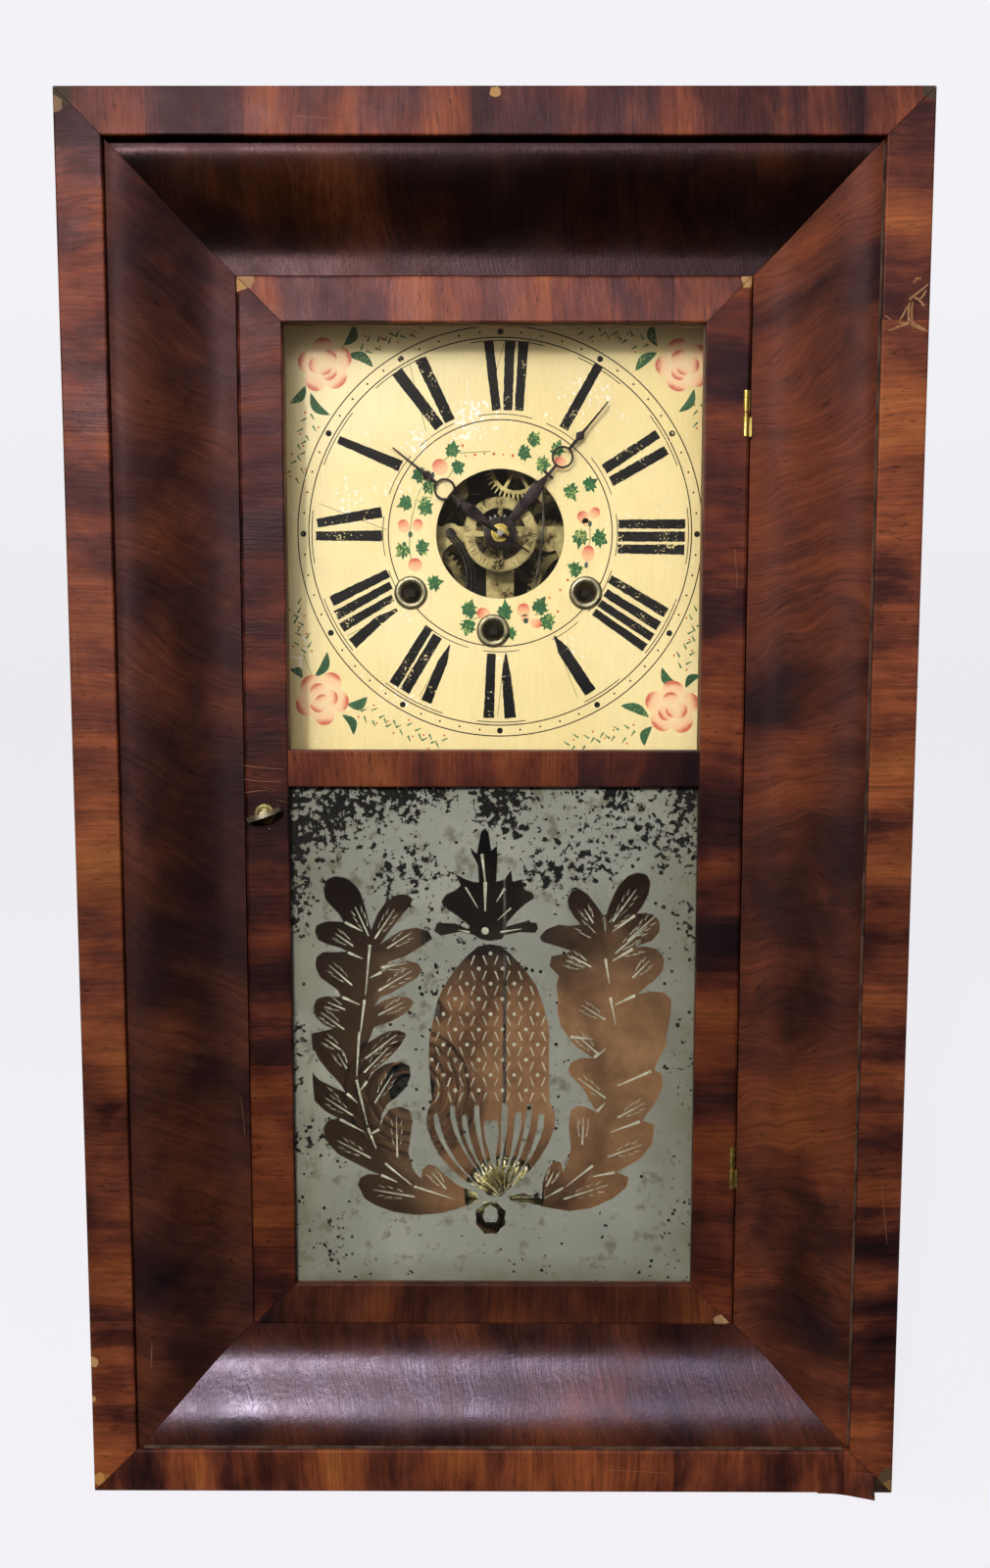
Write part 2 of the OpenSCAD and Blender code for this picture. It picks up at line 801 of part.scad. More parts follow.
module hinge_door_leaves() color(brass)
    for (z = hinge_places)
        translate([hinge_x, hinge_y, z])
            difference() {
                union() {
                    translate([0, 0, collar_top + 0.1])
                        cylinder(r = barrel_r, h = hinge_h / 2 - collar_top - 0.1);
                    translate([hinge_inset - leaf_seat, 0, collar_top + 0.1])
                        cube([leaf_t, 4, hinge_h / 2 - collar_top - 0.1]);
                    translate([hinge_inset - leaf_seat, barrel_r + 0.8, -hinge_h / 2])
                        cube([leaf_t, leaf_d - barrel_r, hinge_h]);
                }
                translate([0, 0, -hinge_h])
                    cylinder(r = hinge_pin_r + run_gap, h = 2 * hinge_h);
                // groove below the knuckle's finial
                translate([0, 0, hinge_h * 0.33])
                    difference() {
                        cylinder(r = barrel_r + 1, h = 0.4);
                        cylinder(r = barrel_r - 0.25, h = 0.4);
                    }
            }

// ---- latch ----
module latch_rose() color(brass)
    translate([latch_x, 0, latch_z])
        difference() {
            union() {
                rod(rose_r, door_y - 0.9, door_y);
                rod(rose_r - 1.8, door_y - 1.6, door_y);
            }
            rod(spindle_r + run_gap, door_y - 3, door_y + 1);
        }

// The thumb piece, its spindle and the tongue that turns behind the frame
thumb_tilt = 19;
module latch_knob() color(brass)
    translate([latch_x, 0, latch_z]) {
        rod(spindle_r, door_y - 4, tongue_y + tongue_t);
        rotate([0, -thumb_tilt, 0]) {
            intersection() {
                translate([-thumb_l / 2, door_y - 10.5, -1])
                    cube([thumb_l, 8.5, 2]);
                translate([0, door_y - 2, 0])
                    cylinder(r = thumb_l / 2, h = 4, center = true);
            }
        }
        translate([-1.6, tongue_y, 0])
            cube([3.2, tongue_t, 9]);
    }

// ---- motion work and hands ----
module centre_arbor() color(brass)
    at(centre) {
        difference() {
            rod(arbor_r, arbor_tip_y, plate_in + 8);
            translate([0, pin_y, 0])
                rotate([0, pin_tilt, 0])
                    translate([0, 0, -3])
                        cylinder(r = pin_mid_r + run_gap, h = 6, $fn = 24);
        }
        rod(staff_r, plate_in + 7, plate_back - side_gap);
        rod(pivot_r, plate_back - 1, plate_end);
        slab(centre_gear_y, centre_gear_y + wheel_t)
            wheel2d(centre_teeth, centre_m, heading(centre, second_c), 2, 3.4);
    }

// The pin leans down to the right; its thick end is at the upper left
pin_tilt = 123.3;
pin_mid_r = 0.9;
pin_back = 11.2;
pin_l = 28.5;
module taper_pin() color(steel)
    at(centre)
        translate([0, pin_y, 0])
            rotate([0, pin_tilt, 0])
                translate([0, 0, -pin_back])
                    cylinder(r1 = 1.15, r2 = 0.4, h = pin_l, $fn = 24);

module hand_washer() color(brass)
    at(centre)
        difference() {
            rod(4.7, washer_y, washer_y + 0.9);
            rod(arbor_r + run_gap, washer_y - 1, washer_y + 2);
        }

module cannon_pinion() color(brass)
    at(centre)
        difference() {
            union() {
                rod(pipe_r, minute_hand_y + hand_t, minute_wheel_y + motion_t + 0.3);
                slab(minute_wheel_y - 0.2, minute_wheel_y + motion_t + 0.2)
                    teeth2d(cannon_teeth, motion_m, heading(centre, minute_c) + 180 / cannon_teeth);
            }
            rod(arbor_r + run_gap, minute_hand_y - 1, plate_y);
        }

// A hand drawn along +Z: collar, blade, cross, ring, lozenge and needle
module hand2d(collar, cross_r, ring_c, ring_o, lozenge_r, tip) {
    difference() {
        union() {
            circle(r = collar);
            polygon([[-1.7, collar - 1.5], [1.7, collar - 1.5], [3.1, (collar + 2 * cross_r) / 3],
                     [0.9, cross_r - 1], [-0.9, cross_r - 1], [-3.1, (collar + 2 * cross_r) / 3]]);
            translate([-0.8, cross_r - 2])
                square([1.6, ring_c - ring_o - cross_r + 3]);
            translate([-3, cross_r - 0.7])
                square([6, 1.4]);
            translate([0, ring_c])
                circle(r = ring_o);
            polygon([[-0.8, ring_c + ring_o - 1], [0.8, ring_c + ring_o - 1], [0.8, lozenge_r - 2.2],
                     [2.3, lozenge_r], [0.8, lozenge_r + 2.2], [0.3, tip], [-0.3, tip],
                     [-0.8, lozenge_r + 2.2], [-2.3, lozenge_r], [-0.8, lozenge_r - 2.2]]);
        }
        translate([0, ring_c])
            circle(r = ring_o - 1);
    }
}

module minute_hand() color(blued)
    at(centre)
        rotate([0, minute_angle, 0])
            slab(minute_hand_y, minute_hand_y + hand_t)
                difference() {
                    hand2d(8, minute_l * 0.447, minute_l * 0.58, 5.4, minute_l * 0.741, minute_l);
                    circle(r = arbor_r + run_gap);
                }

module hour_hand() color(blued)
    at(centre)
        rotate([0, hour_angle, 0])
            slab(hour_hand_y, hour_hand_y + hand_t)
                difference() {
                    hand2d(6.6, hour_l * 0.367, hour_l * 0.518, 5.4, hour_l * 0.684, hour_l);
                    circle(r = pipe_r + run_gap);
                }

module hour_wheel() color(brass)
    at(centre)
        difference() {
            union() {
                rod(hour_pipe_r, hour_hand_y + hand_t, hour_wheel_y + motion_t + 0.2);
                slab(hour_wheel_y, hour_wheel_y + motion_t)
                    teeth2d(hour_teeth, hour_m, heading(centre, minute_c));
            }
            rod(pipe_r + run_gap, hour_hand_y - 1, plate_y);
        }

module minute_wheel() color(brass)
    at(minute_c) {
        slab(minute_wheel_y, minute_wheel_y + motion_t)
            teeth2d(minute_teeth, motion_m, heading(minute_c, centre));
        slab(hour_wheel_y - 0.2, minute_wheel_y)
            teeth2d(minute_pinion, hour_m, heading(minute_c, centre) + 180 / minute_pinion);
        rod(1.2, minute_wheel_y, plate_y - 0.2);
    }

module alarm_disc() color(brass)
    at(centre)
        slab(disc_y, disc_y + 0.9)
            difference() {
                circle(r = alarm_disc_r);
                difference() {
                    circle(r = alarm_disc_r - 5.4);
                    circle(r = 6.4);
                    for (a = [0, 90])
                        rotate(a)
                            square([2 * alarm_disc_r - 6, 2.4], center = true);
                }
                circle(r = hour_pipe_r + run_gap);
            }

// ---- going train ----
module great_wheel(dir)
    slab(great_y, great_y + great_t)
        difference() {
            wheel2d(great_teeth, great_m, dir, 4, 8);
            circle(r = wind_r + run_gap);
        }

module great_wheel_time() color(brass)
    at(wind_time)
        great_wheel(heading(wind_time, second_c));

module great_wheel_strike() color(brass)
    at(wind_strike)
        great_wheel(heading(wind_strike, strike_c));

// A drum with its flanges, its ratchet and the square for the key
module drum() {
    rod(drum_r, drum_y, drum_y + drum_w);
    for (y = [drum_y, drum_y + drum_w - 1])
        rod(drum_r + 3, y, y + 1);
    rod(wind_r, plate_y - 1, plate_end + 0.5);
    slab(dial_back - 0.5, plate_y)
        square([3.8, 3.8], center = true);
    slab(drum_y - 1.2, drum_y + 0.2)
        polygon([for (i = [0:11], p = [[9, 0], [11.5, 0.06], [9, 0.8]])
                 polar([0, 0], p[0], (i + p[1]) * 30)]);
}

module drum_time() color(brass) at(wind_time) drum();
module drum_strike() color(brass) at(wind_strike) drum();

module second_wheel() color(brass)
    at(second_c) {
        staff();
        lantern(great_pinion, great_m, heading(second_c, wind_time), great_y, great_t);
        slab(centre_gear_y, centre_gear_y + wheel_t)
            wheel2d(centre_teeth, centre_m, heading(second_c, centre) + 180 / centre_teeth, 2, 3.4);
        slab(second_y, second_y + wheel_t)
            wheel2d(wheel_teeth, wheel_m, heading(second_c, third_c), 2.6, 4);
    }

module third_wheel() color(brass)
    at(third_c) {
        staff();
        lantern(wheel_pinion, wheel_m, heading(third_c, second_c), second_y, wheel_t);
        slab(third_y, third_y + wheel_t)
            wheel2d(third_teeth, third_m, heading(third_c, escape_c), 2.2, 3.4);
    }

module escape_wheel() color(brass)
    at(escape_c) {
        rod(staff_r, plate_in + side_gap, plate_back - side_gap);
        rod(pivot_r, escape_y, plate_end);
        lantern(wheel_pinion, third_m, heading(escape_c, third_c), third_y, wheel_t);
        slab(escape_y, escape_y + 1.2)
            difference() {
                polygon([for (i = [0:escape_teeth - 1], p = [[escape_r - 3.4, 0], [escape_r, 0.42],
                         [escape_r, 0.52], [escape_r - 3.4, 0.6]]) polar([0, 0], p[0], (i + p[1]) * 9)]);
                difference() {
                    circle(r = escape_r - 5.2);
                    circle(r = 3);
                    for (a = [0, 60, 120])
                        rotate(a)
                            square([2 * escape_r - 9, 1.6], center = true);
                }
            }
    }

// ---- escapement and pendulum ----
crutch_y = escape_y - 1.6;
crutch_r = 0.6;
fork_u = pivot_c[0] - verge_c[0];
fork_v = crutch_v - verge_c[1];
fork_gap = rod_r + crutch_r + seat_gap;
module verge() color(steel)
    at(verge_c) {
        // strip with its two pallets
        slab(escape_y - 0.4, escape_y + 1.6)
            difference() {
                circle(r = 11);
                circle(r = 9.8);
                translate([-12, -17.6])
                    square([24, 12]);
                translate([-12, 4])
                    square([24, 12]);
            }
        bar_top = 9.9;
        slab(escape_y - 0.4, escape_y + 1.6)
            difference() {
                translate([-bar_top, -0.7])
                    square([2 * bar_top, 1.4]);
                circle(r = 0.6, $fn = 24);
            }
        rod(pivot_r, escape_y - 1.4, plate_y - 0.2);
        // crutch wire, round the centre to the pendulum
        wire([[0, 0], [7, -8], [12, -20], [13.6, -36], [13.6, -52], [10, -80], [3, -104], [-1.6, -118],
              [fork_u, fork_v - 0.8]], crutch_y, crutch_r);
        // fork that holds the pendulum rod between its prongs
        for (side = [-1, 1])
            translate([fork_u + side * fork_gap, 0, fork_v])
                rod(crutch_r, pendulum_y - 2, crutch_y);
        slab(crutch_y - crutch_r, crutch_y + crutch_r)
            translate([fork_u - fork_gap - crutch_r, fork_v - crutch_r])
                square([2 * (fork_gap + crutch_r), 2 * crutch_r]);
    }

module pendulum_rod() color(steel)
    at(pivot_c)
        translate([0, pendulum_y, 0]) {
            // suspension spring
            translate([-0.15, -1.5, -spring_l])
                cube([0.3, 3, spring_l + 2]);
            translate([0, 0, -pendulum_l])
                cylinder(r = rod_r, h = pendulum_l - spring_l + 1, $fn = 24);
        }

module pendulum_bob() color(brass)
    at(pivot_c)
        translate([0, pendulum_y, -pendulum_l])
            difference() {
                rotate([90, 0, 0])
                    rotate_extrude($fn = 96)
                        intersection() {
                            for (s = [-1, 1])
                                translate([0, s * (bob_half - bob_curve)])
                                    circle(r = bob_curve, $fn = 240);
                            translate([0, -bob_half])
                                square([bob_r, 2 * bob_half]);
                        }
                cylinder(r = rod_r + run_gap, h = bob_r + 1, $fn = 24);
            }

// ---- strike train ----
module strike_wheel() color(brass)
    at(strike_c) {
        staff();
        lantern(great_pinion, great_m, heading(strike_c, wind_strike), great_y, great_t);
        slab(second_y, second_y + wheel_t)
            wheel2d(wheel_teeth, wheel_m, heading(strike_c, fly_c), 5, 4);
        for (k = [0:strike_pins - 1])
            rotate([0, (k + 0.5) * 360 / strike_pins, 0])
                translate([strike_pin_r, 0, 0])
                    rod(0.8, second_y - 3.7, second_y + 0.5, $fn = 16);
    }

module fly() color(brass)
    at(fly_c) {
        staff();
        lantern(wheel_pinion, wheel_m, heading(fly_c, strike_c), second_y, wheel_t);
        translate([-11, plate_in + 3, -0.3])
            cube([22, 15, 0.6]);
    }

// Slots around the count wheel, at the strikes 1 to 12 added up
count_slots = [for (h = [1:12]) h * (h + 1) / 2 * 360 / 78];
module count_wheel() color(brass)
    at(wind_strike)
        slab(plate_end + 1, plate_end + 2.2)
            difference() {
                circle(r = 28);
                for (a = count_slots)
                    rotate(a)
                        translate([25, -0.9])
                            square([4, 1.8]);
                circle(r = wind_r + run_gap);
            }

hammer_tip = [gong_x - cx + 12, gong_z - cz + gong_r + 6];
module hammer() color(steel)
    at(hammer_c) {
        rod(staff_r, plate_in + side_gap, plate_back - side_gap);
        rod(pivot_r, plate_y, hammer_y + 0.6);
        // tail that the pins lift
        rotate([0, -heading(hammer_c, strike_c), 0])
            translate([0, second_y - 3.4, -1])
                cube([9.6, 2.8, 2]);
        wire([[0, 1], [0, -40], hammer_tip - hammer_c], hammer_y, 0.9);
        translate([hammer_tip[0] - hammer_c[0], 0, hammer_tip[1] - hammer_c[1]])
            rod(5, gong_y - 3.5, hammer_y);
    }

// The bent wires that unlock the strike, side by side on one arbor
lever_y = plate_y - 1.6;
lever_step = 2;
lever_bend = [[-2, -1], [2, -5.5], [6, -11], [8, -17.5], [8.5, -24], [8.5, -31]];
module lifting_lever() color(steel)
    at(lever_c) {
        rod(2.4, lever_y - 1, plate_y - 0.2);
        for (k = [0:2])
            wire([for (p = lever_bend) p + [k * lever_step, 0]], lever_y, 0.5);
        slab(lever_y - 0.6, lever_y + 0.6)
            translate([-2.4, -2])
                square([2 * lever_step + 1.2, 2.2]);
        slab(lever_y - 0.6, lever_y + 0.6)
            translate([7.9, -31])
                square([2 * lever_step + 1.2, 1.2]);
    }

module alarm_barrel() color(brass)
    at(wind_alarm) {
        rod(12, plate_in + 6, plate_back - 4);
        rod(wind_r, plate_y - 1, plate_end + 0.5);
        slab(dial_back - 0.5, plate_y)
            square([3.8, 3.8], center = true);
    }

case_boards();
back_board();
outer_band();
ogee_left();
ogee_right();
ogee_top();
ogee_bottom();
channel_boards();
mounting_cleats();
dial_plate();
dial_grommets();
front_plate();
back_plate();
plate_pillars();
suspension_post();
gong_coil();
gong_base();
pulley_brackets();
cord_runs();
cord_drop_time();
cord_drop_strike();
hinge_case_leaves();
door_stiles();
door_end_rails();
door_middle_rail();
upper_glass();
tablet_glass();
glass_beads();
hinge_door_leaves();
latch_rose();
latch_knob();
centre_arbor();
hand_washer();
taper_pin();
cannon_pinion();
minute_hand();
hour_wheel();
hour_hand();
minute_wheel();
alarm_disc();
great_wheel_time();
drum_time();
weight_time();
pulley_time();
great_wheel_strike();
drum_strike();
weight_strike();
pulley_strike();
second_wheel();
third_wheel();
escape_wheel();
verge();
pendulum_rod();
pendulum_bob();
strike_wheel();
fly();
count_wheel();
hammer();
lifting_lever();
alarm_barrel();
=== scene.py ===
import json
import math
import random

import bmesh
import bpy
from mathutils import Matrix, Vector

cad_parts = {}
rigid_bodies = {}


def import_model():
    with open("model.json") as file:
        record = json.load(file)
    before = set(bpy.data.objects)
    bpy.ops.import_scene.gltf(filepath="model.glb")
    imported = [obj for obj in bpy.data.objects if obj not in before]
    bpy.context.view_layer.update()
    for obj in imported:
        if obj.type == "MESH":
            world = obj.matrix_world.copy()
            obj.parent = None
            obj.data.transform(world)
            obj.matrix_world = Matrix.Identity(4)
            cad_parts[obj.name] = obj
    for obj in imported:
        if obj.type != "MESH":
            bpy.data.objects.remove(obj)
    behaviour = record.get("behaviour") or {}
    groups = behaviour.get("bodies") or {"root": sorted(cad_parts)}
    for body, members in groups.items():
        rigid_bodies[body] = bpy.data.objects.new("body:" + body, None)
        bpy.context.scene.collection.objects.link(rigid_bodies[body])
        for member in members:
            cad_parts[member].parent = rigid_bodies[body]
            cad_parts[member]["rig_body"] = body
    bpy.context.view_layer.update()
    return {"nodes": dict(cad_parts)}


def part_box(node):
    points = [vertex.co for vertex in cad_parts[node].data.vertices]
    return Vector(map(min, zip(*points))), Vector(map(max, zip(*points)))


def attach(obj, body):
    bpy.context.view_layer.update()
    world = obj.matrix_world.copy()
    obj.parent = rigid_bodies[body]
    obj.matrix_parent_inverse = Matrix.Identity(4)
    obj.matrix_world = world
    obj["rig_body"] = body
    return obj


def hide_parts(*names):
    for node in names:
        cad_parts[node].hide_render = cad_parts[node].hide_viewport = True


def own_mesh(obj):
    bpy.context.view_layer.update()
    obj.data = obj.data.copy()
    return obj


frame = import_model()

MM = 0.001

# ---- camera, at the photograph's place: found from the corners of the case and of its door ----
PHOTO_W, PHOTO_H = 1010, 1600
FOCUS_PX = 1311.55
EYE, EYE_TURN = (0.0024, -0.6558, 0.4086), (1.47572, -0.00104, 0.00293)
lens = bpy.data.cameras.new("camera")
lens.sensor_width = 36
lens.lens = lens.sensor_width * FOCUS_PX / PHOTO_H
camera = bpy.data.objects.new("camera", lens)
camera.location = EYE
camera.rotation_euler = EYE_TURN
bpy.context.scene.collection.objects.link(camera)
bpy.context.scene.camera = camera
bpy.context.scene.view_settings.view_transform = "Standard"
bpy.context.view_layer.update()


def from_photo(px, py, y):
    """Where the line of sight through a pixel of the photograph meets the upright plane at depth y, in mm."""
    ray = Vector(((px - PHOTO_W / 2) / FOCUS_PX, (PHOTO_H / 2 - py) / FOCUS_PX, -1))
    ray = camera.matrix_world.to_3x3() @ ray
    eye = camera.location / MM
    return eye + ray * ((y - eye.y) / ray.y)


# ---- sizes of the part, in mm ----
CASE_W, CASE_H = 394, 664
FRONT, BAND_BACK = -57, -43
BAND_W = 21.4
OGEE_IN, OGEE_W = 75.8, 54.2
DOOR_X, DOOR_Z0, DOOR_Z1 = 120.2, 76.8, 587.2
DOOR_Y, DOOR_BACK = -39, -20
STILE_W = 21.2
RAIL_Z0, RAIL_Z1 = 348.2, 365.8
GLASS_BACK = -34
DIAL_Y = -12
DIAL = Vector((3, 0, 471.2))
MINUTE_TURN, HOUR_TURN = 39.7, 308.2


# ---- small tools ----
def linear(code):
    """An sRGB hex colour as linear RGBA."""
    parts = [int(code[i:i + 2], 16) / 255 for i in (1, 3, 5)]
    return [c / 12.92 if c <= 0.04045 else ((c + 0.055) / 1.055) ** 2.4 for c in parts] + [1.0]


def feed(node, values):
    """Feeds a node's inputs, each from another node, from a socket, or with a hex colour or a plain value."""
    for name, value in values.items():
        socket = node.inputs[name] if isinstance(name, int) else next(
            s for s in node.inputs if s.name == name and s.enabled)
        if isinstance(value, bpy.types.Node):
            value = next(o for o in value.outputs if o.enabled)
        if isinstance(value, bpy.types.NodeSocket):
            node.id_data.links.new(value, socket)
        else:
            socket.default_value = linear(value) if isinstance(value, str) else value


def add(tree, kind, feeds=None, stops=(), **settings):
    """Adds a node with its settings, its ramp's stops and what feeds its inputs."""
    made = tree.nodes.new("ShaderNode" + kind)
    for name, value in settings.items():
        setattr(made, name, value)
    for i, (place, shade) in enumerate(stops):
        ramp = made.color_ramp
        stop = ramp.elements[i] if i < len(ramp.elements) else ramp.elements.new(place)
        stop.position = place
        stop.color = linear(shade)
    feed(made, feeds or {})
    return made


def new_finish(name):
    """An empty material: its tree, its Principled shader and the Object coordinates."""
    finish = bpy.data.materials.new(name)
    finish.use_nodes = True
    tree = finish.node_tree
    return finish, tree, tree.nodes["Principled BSDF"], add(tree, "TexCoord").outputs["Object"]


def wear(piece, finish):
    """Gives a piece one finish all over."""
    piece.data.materials.clear()
    piece.data.materials.append(finish)


def clear_selection():
    """Leaves edit mode and selects nothing."""
    if bpy.context.mode != "OBJECT":
        bpy.ops.object.mode_set(mode="OBJECT")
    bpy.ops.object.select_all(action="DESELECT")


def name_it(name):
    """Names the active object and its mesh."""
    piece = bpy.context.active_object
    piece.name = name
    piece.data.name = name
    return piece


def as_mesh(name, line):
    """A curve made into a piece."""
    piece = bpy.data.objects.new(name, line)
    bpy.context.scene.collection.objects.link(piece)
    clear_selection()
    bpy.context.view_layer.objects.active = piece
    piece.select_set(True)
    bpy.ops.object.convert(target="MESH")
    return name_it(name)


def close_up(piece, angle=35):
    """Merges doubles, turns the faces outwards, smooths below an angle and leaves edit mode."""
    bpy.ops.mesh.select_all(action="SELECT")
    bpy.ops.mesh.remove_doubles(threshold=1e-6)
    bpy.ops.mesh.normals_make_consistent(inside=False)
    bpy.ops.object.mode_set(mode="OBJECT")
    bpy.ops.object.shade_smooth_by_angle(angle=math.radians(angle))
    return piece


def outline_ring(name, points):
    """A closed line through points in mm, from a circle of as many vertices, left in edit mode."""
    clear_selection()
    bpy.ops.mesh.primitive_circle_add(vertices=len(points), radius=MM, fill_type="NOTHING")
    piece = name_it(name)
    for corner, point in zip(piece.data.vertices, points):
        corner.co = Vector(point) * MM
    bpy.ops.object.mode_set(mode="EDIT")
    bpy.ops.mesh.select_all(action="SELECT")
    return piece


STRIP_STEP = 40                     # from one row of a moulding's points to the next, in mm


def strip(name, section, side, box, body, gap=0.12):
    """A moulding with mitred ends along one side of a frame. The section is [(in from the edge, depth)].
    The mitres stand open by twice the gap, in mm."""
    x0, x1, z0, z1 = box
    upright = side in ("left", "right")
    start, end = (z0, z1) if upright else (x0, x1)
    lay = {"left": lambda u, y: (x0 + u, y, z0), "right": lambda u, y: (x1 - u, y, z0),
           "bottom": lambda u, y: (x0, y, z0 + u), "top": lambda u, y: (x0, y, z1 - u)}[side]
    piece = outline_ring(name, [lay(u, y) for u, y in section])
    bpy.ops.mesh.edge_face_add()
    parts = max(1, round((end - start) / STRIP_STEP))
    move = Vector((0, 0, 1) if upright else (1, 0, 0)) * (end - start) / parts * MM
    for _ in range(parts):
        bpy.ops.mesh.extrude_region_move(TRANSFORM_OT_translate={"value": move})
    inward = {"left": (1, 0), "right": (-1, 0), "bottom": (0, 1), "top": (0, -1)}[side]
    for along in (-1, 1):
        corner = (x0 if side == "left" or (not upright and along < 0) else x1, 0,
                  z0 if side == "bottom" or (upright and along < 0) else z1)
        away = (inward[0] + (0 if upright else along), 0, inward[1] + (along if upright else 0))
        bpy.ops.mesh.select_all(action="SELECT")
        corner = Vector(corner) - Vector(away).normalized() * gap
        bpy.ops.mesh.bisect(plane_co=corner * MM, plane_no=away, use_fill=True, clear_outer=True)
    close_up(piece, angle=18)
    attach(piece, body)
    return piece


def turned(name, section, centre, body, steps=48, closed=False):
    """A piece turned on a lathe: a section of (radius, depth) spun about the front-to-back line through
    centre, all in mm. A closed section is a ring; an open one starts and ends on that line."""
    piece = outline_ring(name, [(centre[0] + r, y, centre[2]) for r, y in section])
    if not closed:
        first, last = (Vector((centre[0] + section[i][0], section[i][1], centre[2])) * MM for i in (0, -1))
        middle = (first + last) / 2
        shape = bmesh.from_edit_mesh(piece.data)
        edge = min(shape.edges, key=lambda e: ((e.verts[0].co + e.verts[1].co) / 2 - middle).length
                   + abs((e.verts[0].co - e.verts[1].co).length - (first - last).length))
        shape.edges.remove(edge)
        bmesh.update_edit_mesh(piece.data)
        bpy.ops.mesh.select_all(action="SELECT")
    bpy.ops.mesh.spin(steps=steps, angle=2 * math.pi, center=Vector(centre) * MM, axis=(0, 1, 0))
    close_up(piece, angle=50)
    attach(piece, body)
    return piece


def flat(name, outlines, y, thick, body, round_over=0.0, turn=0.0, about=None):
    """Flat outlines in (x, z) mm, holes where one lies in another, as a sheet or plate; y is its front."""
    line = bpy.data.curves.new(name, "CURVE")
    line.dimensions = "2D"
    line.fill_mode = "FRONT" if thick == 0 else "BOTH"
    line.extrude = max(thick / 2 - round_over, 0) * MM
    line.bevel_depth = round_over * MM
    line.bevel_resolution = 2
    line.offset = -round_over * MM
    for outline in outlines:
        spline = line.splines.new("POLY")
        spline.points.add(len(outline) - 1)
        for point, (x, z) in zip(spline.points, outline):
            point.co = (x * MM, z * MM, 0, 1)
        spline.use_cyclic_u = True
    piece = as_mesh(name, line)
    stand = Matrix.Translation((0, (y + thick / 2) * MM, 0)) @ Matrix.Rotation(math.pi / 2, 4, "X")
    if about is not None:
        centre = Matrix.Translation(Vector(about) * MM)
        stand = centre @ Matrix.Rotation(math.radians(turn), 4, "Y") @ centre.inverted() @ stand
    piece.data.transform(stand)
    if thick:
        bpy.ops.object.mode_set(mode="EDIT")
        close_up(piece, angle=40)
    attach(piece, body)
    return piece


def joined(name, pieces, body):
    """Several pieces made one."""
    clear_selection()
    for piece in pieces:
        piece.select_set(True)
    bpy.context.view_layer.objects.active = pieces[0]
    bpy.ops.object.join()
    piece = name_it(name)
    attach(piece, body)
    return piece


def ring(centre, r, count=48, high=None):
    """Points round a circle, or round an oval of that half height, in (x, z)."""
    return [(centre[0] + r * math.cos(a), centre[1] + (high or r) * math.sin(a))
            for a in (2 * math.pi * k / count for k in range(count))]


def stroke(a, b, wide_a, wide_b):
    """A straight brush stroke from a to b as a four-cornered outline."""
    run = Vector(b) - Vector(a)
    side = Vector((-run[1], run[0])).normalized()
    return [tuple(Vector(a) + side * wide_a / 2), tuple(Vector(b) + side * wide_b / 2),
            tuple(Vector(b) - side * wide_b / 2), tuple(Vector(a) - side * wide_a / 2)]


